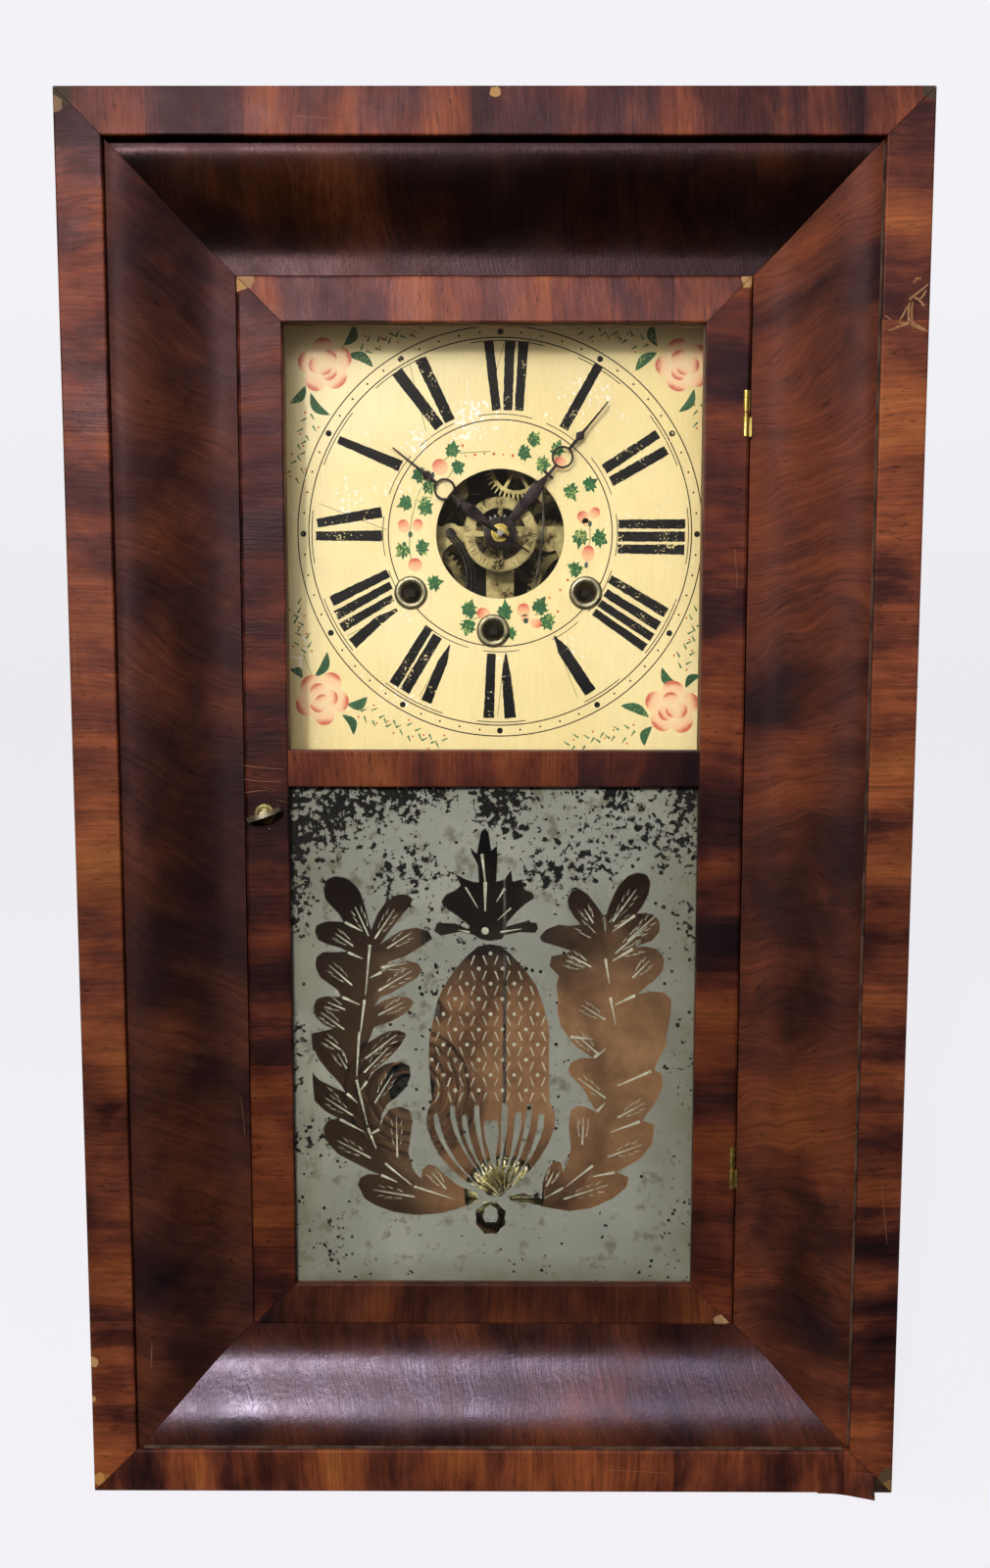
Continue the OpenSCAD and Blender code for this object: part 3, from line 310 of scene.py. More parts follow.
# ---- finishes ----
def veneer(name, lean, tones, seed, spots=(), band=14, along=90, gloss=0.4, flame=0.35, shine=0.35, block=0,
           mottle=0.25, tint="#ffccd4"):
    """Old mahogany veneer under shellac: red-brown and near-black stripes, fine grain lines, a satin sheen.
    lean is the grain's angle from upright, in degrees; band and along are a stripe's width and length, in mm.
    seed shifts the figure, so that no two pieces match.
    block is the usual width of the single leaves of veneer that a long border is pieced from, in mm.
    spots are (x, z, radius, colour) where veneer is chipped off, in mm."""
    finish, tree, shader, place = new_finish(name)
    turned_place = add(tree, "Mapping", {"Vector": place, "Location": (seed * 0.37, seed * 0.11, 0),
                                         "Rotation": (0, math.radians(lean), 0)})
    sway = add(tree, "TexNoise", {"Vector": turned_place, "Scale": 9.0, "Detail": 3.0})
    bent = add(tree, "VectorMath", {0: sway.outputs["Color"], 1: (0.5, 0.5, 0.5)}, operation="SUBTRACT")
    bent = add(tree, "VectorMath", {0: bent, "Scale": flame * 0.06}, operation="SCALE")
    bent = add(tree, "VectorMath", {0: turned_place, 1: bent}, operation="ADD")
    # stripes: long along the grain, one band wide across it
    wide = add(tree, "Mapping", {"Vector": bent, "Scale": (1 / (band * MM), 12, 1 / (along * MM))})
    stripes = add(tree, "TexNoise", {"Vector": wide, "Scale": 0.5, "Detail": 5.0, "Roughness": 0.62})
    # darker and redder clouds a few centimetres across
    clouds = add(tree, "TexNoise", {"Vector": bent, "Scale": 17.0, "Detail": 5.0, "Roughness": 0.55})
    mixed = add(tree, "Math", {0: stripes, 1: 1.25 - mottle, 2: -0.125}, operation="MULTIPLY_ADD")
    mixed = add(tree, "Math", {0: clouds, 1: mottle * 1.6, 2: mixed}, operation="MULTIPLY_ADD")
    mixed = add(tree, "Math", {0: mixed, 1: mottle * 0.3}, operation="SUBTRACT")
    if block:
        across = add(tree, "SeparateXYZ", {"Vector": turned_place})
        across = add(tree, "Math", {0: across.outputs["X"], 1: 1 / (block * MM)}, operation="MULTIPLY")
        leaf = add(tree, "TexVoronoi", {"W": across, "Scale": 1.0}, voronoi_dimensions="1D")
        leaf = add(tree, "SeparateColor", {"Color": leaf.outputs["Color"]})
        mixed = add(tree, "Math", {0: leaf.outputs["Red"], 1: 0.16, 2: mixed}, operation="MULTIPLY_ADD")
        mixed = add(tree, "Math", {0: mixed, 1: 0.08}, operation="SUBTRACT")
    body = add(tree, "ValToRGB", {"Fac": mixed}, stops=tones)
    # grain lines about 1 mm apart, and pores as short dark dashes
    fine = add(tree, "Mapping", {"Vector": bent, "Scale": (1 / (1.1 * MM), 60, 1 / (30 * MM))})
    grain = add(tree, "TexNoise", {"Vector": fine, "Scale": 0.6, "Detail": 4.0, "Roughness": 0.75})
    grain_tone = add(tree, "MapRange", {"Value": grain, "From Min": 0.3, "From Max": 0.7, "To Min": 0.56,
                                        "To Max": 1.26})
    tone = add(tree, "VectorMath", {0: body.outputs["Color"], "Scale": grain_tone}, operation="SCALE")
    pore_place = add(tree, "Mapping", {"Vector": bent, "Scale": (1 / (0.9 * MM), 100, 1 / (5 * MM))})
    pores = add(tree, "TexNoise", {"Vector": pore_place, "Scale": 0.9, "Detail": 1.0})
    pore_tone = add(tree, "MapRange", {"Value": pores, "From Min": 0.66, "From Max": 0.74, "To Min": 1.0,
                                       "To Max": 0.45})
    tone = add(tree, "VectorMath", {0: tone, "Scale": pore_tone}, operation="SCALE")
    # old shellac: patches that are duller or glossier, a few centimetres across
    film = add(tree, "TexNoise", {"Vector": place, "Scale": 28.0, "Detail": 6.0, "Roughness": 0.62})
    film_tone = add(tree, "MapRange", {"Value": film, "From Min": 0.3, "From Max": 0.7, "To Min": 0.8,
                                       "To Max": 1.18})
    tone = add(tree, "VectorMath", {0: tone, "Scale": film_tone}, operation="SCALE")
    # fine pale scratches
    nick = add(tree, "Mapping", {"Vector": place, "Rotation": (0, 0.7, 0), "Scale": (420, 420, 30)})
    nicks = add(tree, "TexNoise", {"Vector": nick, "Scale": 0.6, "Detail": 1.0})
    nick_here = add(tree, "MapRange", {"Value": nicks, "From Min": 0.8, "From Max": 0.84})
    # painted shade: darker in the lower half of the case, least so at its foot
    height = add(tree, "SeparateXYZ", {"Vector": place}).outputs["Z"]
    lower_half_shade = add(tree, "MapRange", {"Value": height, "From Min": 0.3, "From Max": 0.4, "To Min": 0.68})
    foot = add(tree, "MapRange", {"Value": height, "From Min": 0.12, "From Max": 0.07, "To Min": 0.68,
                                  "To Max": 0.92})
    painted_low_shade = add(tree, "Math", {0: lower_half_shade, 1: foot}, operation="MAXIMUM")
    tone = add(tree, "VectorMath", {0: tone, "Scale": painted_low_shade}, operation="SCALE")
    colour = add(tree, "Mix", {0: nick_here, 6: tone, 7: "#7a5c4a"}, data_type="RGBA")
    rough = add(tree, "MapRange", {"Value": film, "From Min": 0.3, "From Max": 0.7, "To Min": gloss - 0.08,
                                   "To Max": gloss + 0.14})
    for sx, sz, reach, shade in spots:
        offset = add(tree, "VectorMath", {0: place, 1: (sx * MM, 0, sz * MM)}, operation="SUBTRACT")
        offset = add(tree, "VectorMath", {0: offset, 1: (1, 0, 1)}, operation="MULTIPLY")
        far = add(tree, "VectorMath", {0: offset}, operation="LENGTH").outputs["Value"]
        uneven = add(tree, "TexNoise", {"Vector": place, "Scale": 420.0, "Detail": 3.0})
        edge = add(tree, "Math", {0: uneven, 1: reach * 0.9 * MM, 2: far}, operation="MULTIPLY_ADD")
        here = add(tree, "MapRange", {"Value": edge, "From Min": reach * 1.5 * MM,
                                      "From Max": reach * 1.38 * MM})
        colour = add(tree, "Mix", {0: here, 6: colour, 7: shade}, data_type="RGBA")
        rough = add(tree, "Mix", {0: here, 2: rough, 3: 0.8}, data_type="FLOAT")
    # the film lies unevenly over the grain: ripples, then pebbles of old shellac, then the grain itself
    ripple = add(tree, "TexNoise", {"Vector": place, "Scale": 55.0, "Detail": 3.0})
    low = add(tree, "Bump", {"Height": ripple, "Strength": 0.4, "Distance": 0.0006})
    pebble = add(tree, "TexNoise", {"Vector": place, "Scale": 430.0, "Detail": 3.0})
    mid = add(tree, "Bump", {"Height": pebble, "Strength": 0.3, "Distance": 0.00025, "Normal": low})
    high = add(tree, "Bump", {"Height": grain, "Strength": 0.5, "Distance": 0.0003, "Normal": mid})
    feed(shader, {"Base Color": colour, "Roughness": rough, "Normal": high, "Specular IOR Level": shine,
                  "Specular Tint": tint})
    return finish


# veneer tones; the right ogee's lighter set is painted light, the top ogee's near-black set is painted shade
RED_TONES = [(0.30, "#1f1112"), (0.42, "#4a251e"), (0.52, "#7c412a"), (0.62, "#9c5630"), (0.76, "#b46d3a")]
STILE_TONES = [(0.30, "#170d10"), (0.42, "#391c18"), (0.52, "#602e1f"), (0.62, "#804225"), (0.76, "#98562d")]
DARK_TONES = [(0.28, "#150d10"), (0.42, "#341b17"), (0.52, "#4e2a1e"), (0.62, "#643521"), (0.78, "#824927")]
LIT_RIGHT_TONES = [(0.28, "#1c0f11"), (0.42, "#442217"), (0.52, "#653420"), (0.62, "#7c4024"), (0.78, "#945328")]
PAINTED_SHADE_TONES = [(0.30, "#090504"), (0.42, "#170b07"), (0.52, "#28120a"), (0.64, "#40200f"), (0.76, "#5c3117")]
PINE = "#c39a63"
BARE = "#4b4438"
INSIDE = 50.5                       # the back board's face inside the case lies in front of this depth


def old_pine(name, lean, shade, dark, seed, spacing=6.0, inside_shade=False):
    """Plain old softwood: broad pale and dark growth lines, fuzzy and dull, grey with age."""
    finish, tree, shader, place = new_finish(name)
    turned_place = add(tree, "Mapping", {"Vector": place, "Location": (seed * 0.21, seed * 0.4, 0),
                                         "Rotation": (0, math.radians(lean), 0)})
    stretched = add(tree, "Mapping", {"Vector": turned_place,
                                      "Scale": (1 / (spacing * MM), 1 / (spacing * MM), 1 / (260 * MM))})
    rings = add(tree, "TexNoise", {"Vector": stretched, "Scale": 0.6, "Detail": 4.0, "Distortion": 0.3})
    fuzz = add(tree, "Mapping", {"Vector": turned_place, "Scale": (1300, 1300, 60)})
    fibres = add(tree, "TexNoise", {"Vector": fuzz, "Scale": 0.7, "Detail": 2.0})
    mixed = add(tree, "Math", {0: fibres, 1: 0.25, 2: 0.0}, operation="MULTIPLY_ADD")
    mixed = add(tree, "Math", {0: rings, 1: 0.75, 2: mixed}, operation="MULTIPLY_ADD")
    body = add(tree, "ValToRGB", {"Fac": mixed}, stops=[(0.34, dark), (0.62, shade)])
    stain = add(tree, "TexNoise", {"Vector": place, "Scale": 12.0, "Detail": 5.0})
    stain_tone = add(tree, "MapRange", {"Value": stain, "From Min": 0.3, "From Max": 0.7, "To Min": 0.7,
                                        "To Max": 1.1})
    tone = add(tree, "VectorMath", {0: body.outputs["Color"], "Scale": stain_tone}, operation="SCALE")
    if inside_shade:
        # painted shade: the face inside the case is nearly black
        split = add(tree, "SeparateXYZ", {"Vector": place})
        inside_case = add(tree, "Math", {0: split.outputs["Y"], 1: INSIDE * MM}, operation="LESS_THAN")
        tone = add(tree, "Mix", {0: inside_case, 6: tone, 7: "#110c09"}, data_type="RGBA")
    bump = add(tree, "Bump", {"Height": mixed, "Strength": 0.3, "Distance": 0.0003})
    feed(shader, {"Base Color": tone, "Roughness": 0.72, "Normal": bump})
    return finish


def old_metal(name, bright, dull, dirt, gloss=0.32, size=9.0, steel_before=None):
    """Aged sheet or cast metal: its own colour, duller patches of tarnish and dark dirt in specks.
    size is a patch of tarnish, in mm. What stands in front of the depth steel_before, in mm, is the dark
    steel square for the key."""
    finish, tree, shader, place = new_finish(name)
    patch = add(tree, "TexNoise", {"Vector": place, "Scale": 1 / (size * MM), "Detail": 5.0,
                                   "Roughness": 0.6})
    body = add(tree, "ValToRGB", {"Fac": patch}, stops=[(0.36, dull), (0.62, bright)])
    speck = add(tree, "TexNoise", {"Vector": place, "Scale": 900.0, "Detail": 3.0})
    grime = add(tree, "Math", {0: speck, 1: 0.5, 2: patch}, operation="MULTIPLY_ADD")
    dirty = add(tree, "MapRange", {"Value": grime, "From Min": 0.66, "From Max": 0.56})
    colour = add(tree, "Mix", {0: dirty, 6: body.outputs["Color"], 7: dirt}, data_type="RGBA")
    if steel_before is not None:
        split = add(tree, "SeparateXYZ", {"Vector": place})
        square = add(tree, "Math", {0: split.outputs["Y"], 1: steel_before * MM}, operation="LESS_THAN")
        colour = add(tree, "Mix", {0: square, 6: colour, 7: "#1f1c19"}, data_type="RGBA")
    rough = add(tree, "MapRange", {"Value": grime, "From Min": 0.5, "From Max": 0.95, "To Min": gloss + 0.3,
                                   "To Max": gloss - 0.05})
    brushed = add(tree, "Mapping", {"Vector": place, "Scale": (200, 200, 2400)})
    scratch = add(tree, "TexNoise", {"Vector": brushed, "Scale": 0.8, "Detail": 2.0})
    low = add(tree, "Bump", {"Height": patch, "Strength": 0.25, "Distance": 0.0003})
    high = add(tree, "Bump", {"Height": scratch, "Strength": 0.1, "Distance": 0.0001, "Normal": low})
    feed(shader, {"Base Color": colour, "Roughness": rough, "Normal": high, "Metallic": 1.0})
    return finish


def brush_paint(name, shade, worn, wear_share, gloss=0.5):
    """Hand-brushed oil paint on the dial: uneven strength, and flecks where it has come off."""
    finish, tree, shader, place = new_finish(name)
    uneven = add(tree, "TexNoise", {"Vector": place, "Scale": 260.0, "Detail": 3.0})
    tone = add(tree, "MapRange", {"Value": uneven, "From Min": 0.3, "From Max": 0.7, "To Min": 0.75,
                                  "To Max": 1.3})
    body = add(tree, "VectorMath", {0: linear(shade)[:3], "Scale": tone}, operation="SCALE")
    fleck = add(tree, "TexNoise", {"Vector": place, "Scale": 1100.0, "Detail": 2.0})
    patch = add(tree, "TexNoise", {"Vector": place, "Scale": 75.0, "Detail": 2.0})
    worn_here = add(tree, "Math", {0: patch, 1: 0.9, 2: fleck}, operation="MULTIPLY_ADD")
    worn_here = add(tree, "MapRange", {"Value": worn_here, "From Min": 1.26 - wear_share,
                                       "From Max": 1.29 - wear_share})
    colour = add(tree, "Mix", {0: worn_here, 6: body, 7: worn}, data_type="RGBA")
    bump = add(tree, "Bump", {"Height": uneven, "Strength": 0.2, "Distance": 0.0001})
    feed(shader, {"Base Color": colour, "Roughness": gloss, "Normal": bump, "Specular IOR Level": 0.12})
    return finish


def petal_paint(name, heart, middle, rim):
    """Flower paint laid with a loaded brush: pale where the stroke starts, strong along its outer rim."""
    finish, tree, shader, place = new_finish(name)
    split = add(tree, "SeparateXYZ", {"Vector": add(tree, "UVMap", uv_map="stroke")})
    ragged = add(tree, "TexNoise", {"Vector": place, "Scale": 420.0, "Detail": 2.0})
    height = add(tree, "Math", {0: ragged, 1: 0.22, 2: split.outputs["Y"]}, operation="MULTIPLY_ADD")
    body = add(tree, "ValToRGB", {"Fac": height}, stops=[(0.4, heart), (0.8, middle), (0.99, rim)])
    feed(shader, {"Base Color": body, "Roughness": 0.5})
    return finish


def dial_enamel():
    """Cream oil paint on zinc: warm yellow cream with faint upright brush lines and white chips."""
    finish, tree, shader, place = new_finish("cream_dial_paint")
    tint = add(tree, "TexNoise", {"Vector": place, "Scale": 14.0, "Detail": 4.0})
    body = add(tree, "ValToRGB", {"Fac": tint},
               stops=[(0.3, "#d5bf83"), (0.55, "#dbc893"), (0.75, "#e0cf9f")])
    brushed = add(tree, "Mapping", {"Vector": place, "Scale": (900, 100, 90)})
    lines = add(tree, "TexNoise", {"Vector": brushed, "Scale": 0.8, "Detail": 3.0})
    line_tone = add(tree, "MapRange", {"Value": lines, "From Min": 0.3, "From Max": 0.7, "To Min": 0.955,
                                       "To Max": 1.04})
    tone = add(tree, "VectorMath", {0: body.outputs["Color"], "Scale": line_tone}, operation="SCALE")
    # painted shade: darker and greener towards the left and top edges of the plate
    split = add(tree, "SeparateXYZ", {"Vector": place})
    left = add(tree, "MapRange", {"Value": split.outputs["X"], "From Min": -0.088, "From Max": -0.108})
    top = add(tree, "MapRange", {"Value": split.outputs["Z"], "From Min": 0.555, "From Max": 0.585})
    rim = add(tree, "Math", {0: left, 1: top}, operation="MAXIMUM")
    rim = add(tree, "Math", {0: rim, 1: 0.14}, operation="MULTIPLY")
    tone = add(tree, "Mix", {0: rim, 6: tone, 7: "#a39a68"}, data_type="RGBA")
    # chips: small and white, in drifts, most of all here: right, up and reach from the centre, in mm
    fleck = add(tree, "TexNoise", {"Vector": place, "Scale": 420.0, "Detail": 3.0, "Roughness": 0.6})
    drift = add(tree, "TexNoise", {"Vector": place, "Scale": 30.0, "Detail": 2.0})
    total = add(tree, "Math", {0: drift, 1: 0.8, 2: fleck}, operation="MULTIPLY_ADD")
    chips = [(-40, 46, 11), (-66, 50, 7), (80, 14, 8), (-12, 60, 7), (22, 56, 6), (80, -18, 9), (-64, 8, 5),
             (-46, -40, 7), (50, -40, 7), (-52, -33, 6), (-80, -83, 7), (-34, 60, 6)]
    for u, v, reach in chips:
        spot = (DIAL + Vector((u, 0, v))) * MM
        off = add(tree, "VectorMath", {0: place, 1: (spot.x, DIAL_Y * MM, spot.z)}, operation="DISTANCE")
        near = add(tree, "MapRange", {"Value": off.outputs["Value"], "From Min": reach * MM, "From Max": 0.0,
                                      "To Max": 0.16})
        total = add(tree, "Math", {0: total, 1: near}, operation="ADD")
    chipped = add(tree, "MapRange", {"Value": total, "From Min": 1.13, "From Max": 1.16})
    colour = add(tree, "Mix", {0: chipped, 6: tone, 7: "#dfdbd0"}, data_type="RGBA")
    bump = add(tree, "Bump", {"Height": lines, "Strength": 0.12, "Distance": 0.0001})
    deep = add(tree, "Bump", {"Height": chipped, "Strength": 0.3, "Distance": 0.0001, "Normal": bump},
               invert=True)
    feed(shader, {"Base Color": colour, "Roughness": 0.45, "Normal": deep})
    return finish


def tablet_paint():
    """Grey-green oil paint on the back of the glass, flaking in specks, most of all along the top; their
    black is painted shade.
    """
    finish, tree, shader, place = new_finish("grey_tablet_paint")
    tint = add(tree, "TexNoise", {"Vector": place, "Scale": 16.0, "Detail": 4.0})
    body = add(tree, "ValToRGB", {"Fac": tint},
               stops=[(0.3, "#696a62"), (0.55, "#787972"), (0.75, "#86877e")])
    split = add(tree, "SeparateXYZ", {"Vector": place})
    # brown grime that gathers at the edges
    foot = add(tree, "MapRange", {"Value": split.outputs["Z"], "From Min": 0.112, "From Max": 0.099})
    sides = add(tree, "Math", {0: split.outputs["X"]}, operation="ABSOLUTE")
    sides = add(tree, "MapRange", {"Value": sides, "From Min": 0.07, "From Max": 0.1})
    rim = add(tree, "Math", {0: foot, 1: sides}, operation="MAXIMUM")
    cloudy_noise = add(tree, "TexNoise", {"Vector": place, "Scale": 45.0, "Detail": 4.0})
    rim = add(tree, "Math", {0: rim, 1: cloudy_noise}, operation="MULTIPLY")
    # small brown stains where the paint has lifted but not fallen
    lifted = add(tree, "TexNoise", {"Vector": place, "Scale": 130.0, "Detail": 4.0, "Roughness": 0.6})
    lifted = add(tree, "MapRange", {"Value": lifted, "From Min": 0.55, "From Max": 0.67, "To Max": 0.6})
    rim = add(tree, "Math", {0: rim, 1: lifted}, operation="MAXIMUM")
    tone = add(tree, "Mix", {0: rim, 6: body.outputs["Color"], 7: "#49432f"}, data_type="RGBA")
    # flakes: clusters of specks from under 1 mm to a few mm
    speck = add(tree, "TexNoise", {"Vector": place, "Scale": 300.0, "Detail": 5.0, "Roughness": 0.62})
    cluster = add(tree, "TexNoise", {"Vector": place, "Scale": 38.0, "Detail": 3.0})
    total = add(tree, "Math", {0: cluster, 1: 0.62, 2: speck}, operation="MULTIPLY_ADD")
    high = add(tree, "MapRange", {"Value": split.outputs["Z"], "From Min": 0.25, "From Max": 0.352,
                                  "To Max": 0.215})
    total = add(tree, "Math", {0: total, 1: high}, operation="ADD")
    total = add(tree, "Math", {0: sides, 1: 0.09, 2: total}, operation="MULTIPLY_ADD")
    total = add(tree, "Math", {0: split.outputs["X"], 1: -0.35, 2: total}, operation="MULTIPLY_ADD")
    flaked = add(tree, "MapRange", {"Value": total, "From Min": 1.03, "From Max": 1.045})
    pin = add(tree, "TexVoronoi", {"Vector": place, "Scale": 120.0, "Randomness": 1.0})
    pin_near = add(tree, "MapRange", {"Value": pin.outputs["Distance"], "From Min": 0.13, "From Max": 0.09})
    chance = add(tree, "SeparateColor", {"Color": pin.outputs["Color"]})
    chosen = add(tree, "Math", {0: chance.outputs["Red"], 1: 0.5}, operation="GREATER_THAN")
    pinholes = add(tree, "Math", {0: pin_near, 1: chosen}, operation="MULTIPLY")
    flaked = add(tree, "Math", {0: flaked, 1: pinholes}, operation="MAXIMUM")
    crumb = add(tree, "TexVoronoi", {"Vector": place, "Scale": 330.0, "Randomness": 1.0})
    crumb_chance = add(tree, "SeparateColor", {"Color": crumb.outputs["Color"]})
    crumb_size = add(tree, "Math", {0: crumb_chance.outputs["Blue"], 1: -0.36, 2: crumb.outputs["Distance"]},
                     operation="MULTIPLY_ADD")
    crumb_near = add(tree, "MapRange", {"Value": crumb_size, "From Min": 0.12, "From Max": 0.04})
    likely = add(tree, "MapRange", {"Value": total, "From Min": 0.76, "From Max": 1.1, "To Max": 0.8})
    crumb_here = add(tree, "Math", {0: crumb_chance.outputs["Green"], 1: likely}, operation="LESS_THAN")
    crumbs = add(tree, "Math", {0: crumb_near, 1: crumb_here}, operation="MULTIPLY")
    flaked = add(tree, "Math", {0: flaked, 1: crumbs}, operation="MAXIMUM")
    # painted shade: where the paint has flaked off the specks are black, for the dark case seen through the
    # glass
    colour = add(tree, "Mix", {0: flaked, 6: tone, 7: "#0b0807"}, data_type="RGBA")
    feed(shader, {"Base Color": colour, "Roughness": 0.6, "Specular IOR Level": 0.08})
    return finish


def window_glass():
    """Old crown glass: clear, faintly green, mirrors softly and lets the lamps through."""
    finish, tree, shader, place = new_finish("old_window_glass")
    wave = add(tree, "TexNoise", {"Vector": place, "Scale": 9.0, "Detail": 1.0})
    bump = add(tree, "Bump", {"Height": wave, "Strength": 0.02, "Distance": 0.001})
    path = add(tree, "LightPath")
    through = add(tree, "BsdfTransparent", {"Color": "#f8faf7"})
    both = add(tree, "MixShader", {0: path.outputs["Is Shadow Ray"], 1: shader, 2: through})
    feed(tree.nodes["Material Output"], {"Surface": both})
    feed(shader, {"Base Color": "#fbfdfb", "Roughness": 0.02, "Normal": bump, "Transmission Weight": 1.0,
                  "IOR": 1.5})
    return finish


def label_paper():
    """Old rag paper pasted on the back board: orange-tan with age, cockled and foxed, with painted shade at
    the left and top.
    """
    finish, tree, shader, place = new_finish("aged_label_paper")
    tint = add(tree, "TexNoise", {"Vector": place, "Scale": 40.0, "Detail": 5.0, "Roughness": 0.65})
    body = add(tree, "ValToRGB", {"Fac": tint}, stops=[(0.3, "#6a4c30"), (0.5, "#845f3f"), (0.72, "#97724f")])
    split = add(tree, "SeparateXYZ", {"Vector": place})
    cloudy_noise = add(tree, "TexNoise", {"Vector": place, "Scale": 22.0, "Detail": 3.0})
    # painted shade: browner towards the left and dark towards the top
    edge = add(tree, "Math", {0: cloudy_noise, 1: 0.03, 2: split.outputs["X"]}, operation="MULTIPLY_ADD")
    brown = add(tree, "MapRange", {"Value": edge, "From Min": -0.012, "From Max": -0.03, "To Max": 0.6})
    top = add(tree, "Math", {0: cloudy_noise, 1: 0.03, 2: split.outputs["Z"]}, operation="MULTIPLY_ADD")
    shade = add(tree, "MapRange", {"Value": top, "From Min": 0.236, "From Max": 0.262, "To Max": 0.93})
    less = add(tree, "Math", {0: brown, 1: -0.6, 2: 1.0}, operation="MULTIPLY_ADD")
    shade = add(tree, "Math", {0: shade, 1: less}, operation="MULTIPLY")
    # painted shade: only the middle of the top goes black
    aside = add(tree, "Math", {0: split.outputs["X"]}, operation="ABSOLUTE")
    aside = add(tree, "MapRange", {"Value": aside, "From Min": 0.028, "From Max": 0.06, "To Min": 1.0,
                                   "To Max": 0.34})
    shade = add(tree, "Math", {0: shade, 1: aside}, operation="MULTIPLY")
    colour = add(tree, "Mix", {0: brown, 6: body.outputs["Color"], 7: "#604b34"}, data_type="RGBA")
    colour = add(tree, "Mix", {0: shade, 6: colour, 7: "#1a110b"}, data_type="RGBA")
    bump = add(tree, "Bump", {"Height": cloudy_noise, "Strength": 0.4, "Distance": 0.001})
    feed(shader, {"Base Color": colour, "Roughness": 0.85, "Normal": bump})
    return finish


def mottled(name, scale, stops, rough):
    """A dull finish in soft patches of two tones, such as dust or rust."""
    finish, tree, shader, place = new_finish(name)
    patch = add(tree, "TexNoise", {"Vector": place, "Scale": scale, "Detail": 4.0})
    feed(shader, {"Base Color": add(tree, "ValToRGB", {"Fac": patch}, stops=stops), "Roughness": rough})
    return finish


def laid_cord(name):
    """Twisted linen cord, waxed and brown with age: the strands wind round it every 4 mm."""
    finish, tree, shader, place = new_finish(name)
    strands = add(tree, "Mapping", {"Vector": add(tree, "UVMap", uv_map="lay"), "Rotation": (0, 0, 0.6)})
    wave = add(tree, "TexWave", {"Vector": strands, "Scale": 1.0, "Distortion": 0.6, "Detail": 2.0})
    body = add(tree, "ValToRGB", {"Fac": wave}, stops=[(0.1, "#5b4429"), (0.7, "#a58658")])
    bump = add(tree, "Bump", {"Height": wave.outputs["Fac"], "Strength": 0.8, "Distance": 0.0004})
    feed(shader, {"Base Color": body, "Roughness": 0.8, "Normal": bump})
    return finish


# metals: bright tone, tarnished tone and dirt, each under what it gives the eye
# yellow and clean, the brightest on the door
HINGE_BRASS = old_metal("hinge_brass", "#dcc76c", "#a8914a", "#4a3c20", gloss=0.36)
# warm, with brown patches
BRASS = old_metal("aged_brass", "#b9a25a", "#7f6c39", "#2c2415", gloss=0.3)
# greenish brown, half bright
DULL_BRASS = old_metal("tarnished_clock_brass", "#a59868", "#6f6542", "#1d1810", gloss=0.36)
# painted shade: a dark olive copy of the brass for the wheels in the shadow behind the dial
SHADED_BRASS = old_metal("painted_shade_brass", "#696040", "#413924", "#120f0a", gloss=0.48)
# evenly brown
DISC_BRASS = old_metal("brown_toned_brass", "#948760", "#655b3c", "#1a150e", gloss=0.4)
# dull, with a dark square in front
DRUM_BRASS = old_metal("tarnished_drum_brass", "#a59868", "#6f6542", "#1d1810", gloss=0.36, steel_before=3.5)
# brown with dark spots
PLATE_BRASS = old_metal("brown_spotted_plate_brass", "#9f9166", "#65583a", "#1b140c", gloss=0.38)
# pale and worn, nearly silver
PALE_BRASS = old_metal("worn_nickel_brass", "#a59d83", "#6f6950", "#2a261c", gloss=0.26)
# painted highlight: pale all over, standing for the light along the thumb piece
PALE_HIGHLIGHT_BRASS = old_metal("painted_highlight_thumb_brass", "#d8d0b2", "#a89e7a", "#5a5038", gloss=0.42)
# grey, half bright
STEEL = old_metal("old_steel", "#8d8a84", "#55514b", "#1d1a17", gloss=0.34)
# near black with a brown sheen
BLUED = old_metal("blued_steel", "#2c2628", "#1b1718", "#0e0c0c", gloss=0.38)
# dark grey, rough and dull
IRON = old_metal("cast_iron", "#4a4744", "#2c2a28", "#17130f", gloss=0.5, size=5.0)

# ---- the frame's mouldings ----
CASE = (-CASE_W / 2, CASE_W / 2, 0, CASE_H)
# cross-banded veneer: how far its grain leans from upright on each side of a frame, in degrees
LEAN = {"left": 90, "right": 90, "top": 0, "bottom": 0}
# chips and rubbed corners: x, z and radius in mm, and their colour
CORNER_WEAR = {
    "left": [(-196, 662, 8, BARE), (-196, 656, 3.5, "#8d7358"), (-195.5, 67, 2.6, PINE),
             (-196.5, 48, 1.6, PINE), (-194, 6.5, 3.2, "#c08c4c"), (-190, 7, 2, "#a06a38")],
    "right": [(196, 663, 5, BARE), (195, 8, 5, "#5a4a34"), (196, 3, 4, "#8a6a3c")],
    "top": [(-196, 662, 8, BARE), (0.5, 661, 2.4, PINE), (196, 662, 5.5, BARE)],
    "bottom": [(-196, 1.5, 2.2, "#3a2a20"), (192, 3, 6.5, "#33261d"), (193, 8, 4, "#41301f")],
}
BAND_SECTION = [(0, BAND_BACK), (0, FRONT + 0.9), (0.3, FRONT + 0.3), (0.9, FRONT), (BAND_W - 0.8, FRONT),
                (BAND_W - 0.25, FRONT + 0.25), (BAND_W, FRONT + 0.8), (BAND_W, BAND_BACK)]
